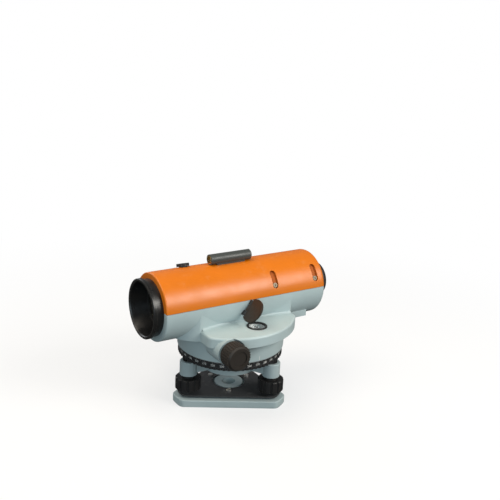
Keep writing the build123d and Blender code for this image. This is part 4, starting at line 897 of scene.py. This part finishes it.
@dataclass
class HorizontalCircle:
    """Graduated circle with a tick for each degree and a number for each ten."""

    grip_proud: float = 1.2 * MM
    grip_height: float = 2.4 * MM
    tick_width: float = 0.14 * MM
    ink: float = 0.04 * MM
    short: float = 1.2 * MM
    medium: float = 1.8 * MM
    long: float = 2.4 * MM
    number_height: float = 2.0 * MM
    digit_share: float = 0.7
    rim_margin: float = 0.25 * MM
    number_rise: float = 0.35 * MM

    def build(self) -> None:
        """Dress the circle, then rule and number it."""
        Coat.CIRCLE.dress("horizontal_circle")
        low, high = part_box("horizontal_circle")
        radius = high.x - self.grip_proud
        ticks = Maker("circle_graduations", "circle", Coat.WHITE_INK, "circle_scale")
        for degree in range(360):
            length = self.long if degree % 10 == 0 else self.medium if degree % 5 == 0 else self.short
            self.tick(ticks, radius, math.radians(degree), high.z - self.rim_margin, length)
        ticks.finish(smooth=False)
        self.numbers(radius, low.z + self.grip_height + self.number_rise)

    def tick(self, maker: Maker, radius: float, angle: float, top: float, length: float) -> None:
        """Add one upright line on the rim.

        Args:
            maker: Piece that it is added to.
            radius: Radius of the rim.
            angle: Its place round the rim, in radians.
            top: Height of its upper end.
            length: Its length.
        """
        out = Vector((math.cos(angle), math.sin(angle), 0))
        side = Vector((-out.y, out.x, 0)) * self.tick_width / 2
        base = out * (radius - self.ink / 2)
        corners = [base + side * a + Vector((0, 0, z)) for a, z in
                   ((-1, top - length), (1, top - length), (1, top), (-1, top))]
        maker.slab(corners, out * self.ink)

    def numbers(self, radius: float, bottom: float) -> None:
        """Number every tenth degree round the rim.

        Args:
            radius: Radius of the rim.
            bottom: Height of the numbers' feet.
        """
        maker = Maker("circle_numbers", "circle", Coat.WHITE_INK, "circle_scale")
        for degree in range(0, 360, 10):
            outline = bpy.data.curves.new("digits", "FONT")
            outline.body = str(degree)
            outline.align_x = "CENTER"
            outline.size = self.number_height / self.digit_share
            outline.extrude = self.ink / 2
            text = bpy.data.objects.new("digits", outline)
            flat = bpy.data.meshes.new_from_object(text)
            for vertex in flat.vertices:
                angle = math.radians(degree) + vertex.co.x / radius
                reach, height = radius + vertex.co.z, bottom + vertex.co.y
                vertex.co = Vector((reach * math.cos(angle), reach * math.sin(angle), height))
            maker.mesh.from_mesh(flat)
            bpy.data.objects.remove(text)
        maker.finish(smooth=False)


@dataclass
class LevellingBase:
    """Levelling head, foot screws and base plate."""

    def build(self) -> None:
        """Dress the base."""
        Coat.CASTING.dress("tribrach", "base_plate")
        Coat.PLATE.dress("spring_plate")
        Coat.SCREWS.dress("spring_plate_screws")
        Coat.KNOB.dress("foot_screw_caps")
        for place in ("front", "right", "left"):
            Coat.STEEL.dress(f"{place}_foot_screw")
            Coat.KNOB.dress(f"{place}_foot_knob")


# Studio

@dataclass(frozen=True)
class SoftLight:
    """Square area lamp that looks at the instrument."""

    name: str
    towards: Point
    distance: float
    size: float
    watts: float
    colour: Colour = WHITE

    def build(self, target: Vector) -> None:
        """Hang the lamp.

        Args:
            target: Point that it looks at.
        """
        data = bpy.data.lights.new(self.name, "AREA")
        data.shape = "SQUARE"
        data.size = self.size
        data.energy = self.watts
        data.color = self.colour
        lamp = bpy.data.objects.new(self.name, data)
        bpy.context.scene.collection.objects.link(lamp)
        direction = Vector(self.towards).normalized()
        lamp.location = target + direction * self.distance
        lamp.rotation_mode = "QUATERNION"
        lamp.rotation_quaternion = direction.to_track_quat("Z", "Y")


@dataclass
class Studio:
    """Pale floor, plain surroundings and soft lamps."""

    lamps: tuple[SoftLight, ...] = (
        SoftLight("key_window", (0.460, -0.700, 0.510), 1.3, 0.55, 12.4, (1.0, 0.97, 0.91)),
        SoftLight("top_soft", (-0.45, 0.05, 1.0), 0.85, 0.65, 4.9, (1.0, 0.90, 0.76)),
        SoftLight("front_fill", (-0.80, -0.85, 0.25), 1.5, 1.1, 8.0, (0.72, 0.90, 1.0)),
        SoftLight("rear_soft", (-0.10, 0.95, 0.38), 1.5, 1.0, 6.5, (0.94, 0.97, 1.0)),
    )
    surround: float = 0.26
    mirrored: float = 0.22
    air: Colour = (0.96, 0.98, 1.0)
    floor_half: float = 6.0
    floor_glow: float = 0.62
    floor_below: float = 0.05 * MM
    fade: tuple[float, float] = (0.12, 0.60)

    def build(self) -> None:
        """Set up the floor, the world and the lamps."""
        low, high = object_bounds()
        for lamp in self.lamps:
            lamp.build((low + high) / 2)
        self.world()
        self.floor(low.z)
        bpy.context.scene.view_settings.view_transform = "Standard"

    def seen_directly(self, recipe: Recipe) -> Signal:
        """Tell which rays see the surroundings as a background.

        Args:
            recipe: Node tree that it is built in.

        Returns:
            1 for rays from the camera, and for those let through by glass.
        """
        rays = recipe.add("ShaderNodeLightPath")
        camera = Signal(recipe, rays.outputs["Is Camera Ray"])
        return camera.either(Signal(recipe, rays.outputs["Is Transmission Ray"]))

    def mirrored_rays(self, recipe: Recipe) -> Signal:
        """1 for rays that a shiny surface throws back."""
        return Signal(recipe, recipe.add("ShaderNodeLightPath").outputs["Is Glossy Ray"])

    def mixed(self, recipe: Recipe, amount: Signal, first: bpy.types.Node,
              second: bpy.types.Node) -> bpy.types.Node:
        """Mix two shaders.

        Args:
            recipe: Node tree that it is built in.
            amount: 0 for the first, up to 1 for the second.
            first: Node of the first shader.
            second: Node of the second shader.

        Returns:
            The node of the mixed shader.
        """
        return recipe.add("ShaderNodeMixShader", {}, {0: amount, 1: first.outputs[0],
                                                      2: second.outputs[0]})

    def world(self) -> None:
        """White behind the object, and an even dimmer light from all round on it."""
        world = bpy.data.worlds.new("studio")
        bpy.context.scene.world = world
        world.use_nodes = True
        recipe = Recipe(world.node_tree)
        white = recipe.add("ShaderNodeBackground", {}, {"Color": WHITE, "Strength": 1.0})
        plain = recipe.add("ShaderNodeBackground", {}, {"Color": self.air, "Strength": self.surround})
        room = recipe.add("ShaderNodeBackground", {}, {"Color": self.air, "Strength": self.mirrored})
        cast = self.mixed(recipe, self.mirrored_rays(recipe), plain, room)
        both = self.mixed(recipe, self.seen_directly(recipe), cast, white)
        recipe.add("ShaderNodeOutputWorld", {}, {"Surface": both.outputs[0]})

    def floor(self, height: float) -> None:
        """Lay the pale floor, which keeps the shadow near the object and fades to white further off.

        Args:
            height: Height of the object's lowest point.
        """
        maker = bmesh.new()
        half = self.floor_half
        for x, y in ((-half, -half), (half, -half), (half, half), (-half, half)):
            maker.verts.new((x, y, height - self.floor_below))
        maker.faces.new(maker.verts)
        data = bpy.data.meshes.new("floor")
        maker.to_mesh(data)
        maker.free()
        floor = bpy.data.objects.new("floor", data)
        bpy.context.scene.collection.objects.link(floor)
        material = bpy.data.materials.new("pale_floor")
        material.use_nodes = True
        recipe = Recipe(material.node_tree)
        far = ((recipe.place("X") ** 2.0 + recipe.place("Y") ** 2.0) ** 0.5).between(*self.fade)
        glow = far * (1.0 - self.floor_glow) + self.floor_glow
        lit = recipe.add("ShaderNodeBsdfDiffuse", {}, {"Color": (0.86, 0.86, 0.86)})
        white = recipe.add("ShaderNodeEmission", {}, {"Color": WHITE, "Strength": 1.0})
        dim = recipe.add("ShaderNodeBsdfDiffuse", {}, {"Color": (0.10, 0.10, 0.10)})
        near = self.mixed(recipe, glow, lit, white)
        both = self.mixed(recipe, self.seen_directly(recipe), dim, near)
        recipe.add("ShaderNodeOutputMaterial", {}, {"Surface": both.outputs[0]})
        data.materials.append(material)
        floor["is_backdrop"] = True


@dataclass(frozen=True)
class PhotoCamera:
    """Camera at the photograph's viewing angle."""

    place: Point = (-0.3591, -0.5698, 0.3566)
    azimuth: float = -33.512
    elevation: float = 17.217
    roll: float = 2.763
    lens: float = 53.54
    sensor: float = 36.0

    def build(self) -> None:
        """Make the camera and use it."""
        data = bpy.data.cameras.new("photo_camera")
        data.lens = self.lens
        data.sensor_width = self.sensor
        camera = bpy.data.objects.new("photo_camera", data)
        bpy.context.scene.collection.objects.link(camera)
        turn, rise, roll = (math.radians(a) for a in (self.azimuth, self.elevation, self.roll))
        level = Vector((math.sin(turn), -math.cos(turn), 0))
        back = level * math.cos(rise) + Vector((0, 0, math.sin(rise)))
        right = (-back).cross(Vector((0, 0, 1))).normalized()
        up = right.cross(-back)
        across = right * math.cos(roll) + up * math.sin(roll)
        upwards = up * math.cos(roll) - right * math.sin(roll)
        basis = Matrix((across, upwards, back)).transposed()
        camera.matrix_world = Matrix.Translation(Vector(self.place)) @ basis.to_4x4()
        bpy.context.scene.camera = camera


def smooth_nodes(limit: float = 32.0) -> None:
    """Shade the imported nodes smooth.

    Args:
        limit: Angle in degrees from which an edge stays sharp.
    """
    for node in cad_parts.values():
        mesh = node.data
        if mesh.has_custom_normals:
            bpy.context.view_layer.objects.active = node
            with bpy.context.temp_override(object=node, active_object=node, selected_objects=[node]):
                bpy.ops.mesh.customdata_custom_splitnormals_clear()
        mesh.shade_smooth()
        mesh.set_sharp_from_angle(angle=math.radians(limit))


def main() -> None:
    """Dress the instrument, set up the studio and the camera, and report each piece."""
    logging.basicConfig(level=logging.INFO, format="%(name)s: %(message)s")
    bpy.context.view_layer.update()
    smooth_nodes()
    for assembly in (Casing(), Objective(), Focusing(), Compensator(), Eyepiece(), Bubble(),
                     BubbleMirror(), Sight(), SlowMotion(), VerticalAxis(), HorizontalCircle(),
                     LevellingBase()):
        assembly.build()
    Studio().build()
    PhotoCamera().build()


if __name__ == "__main__":
    main()
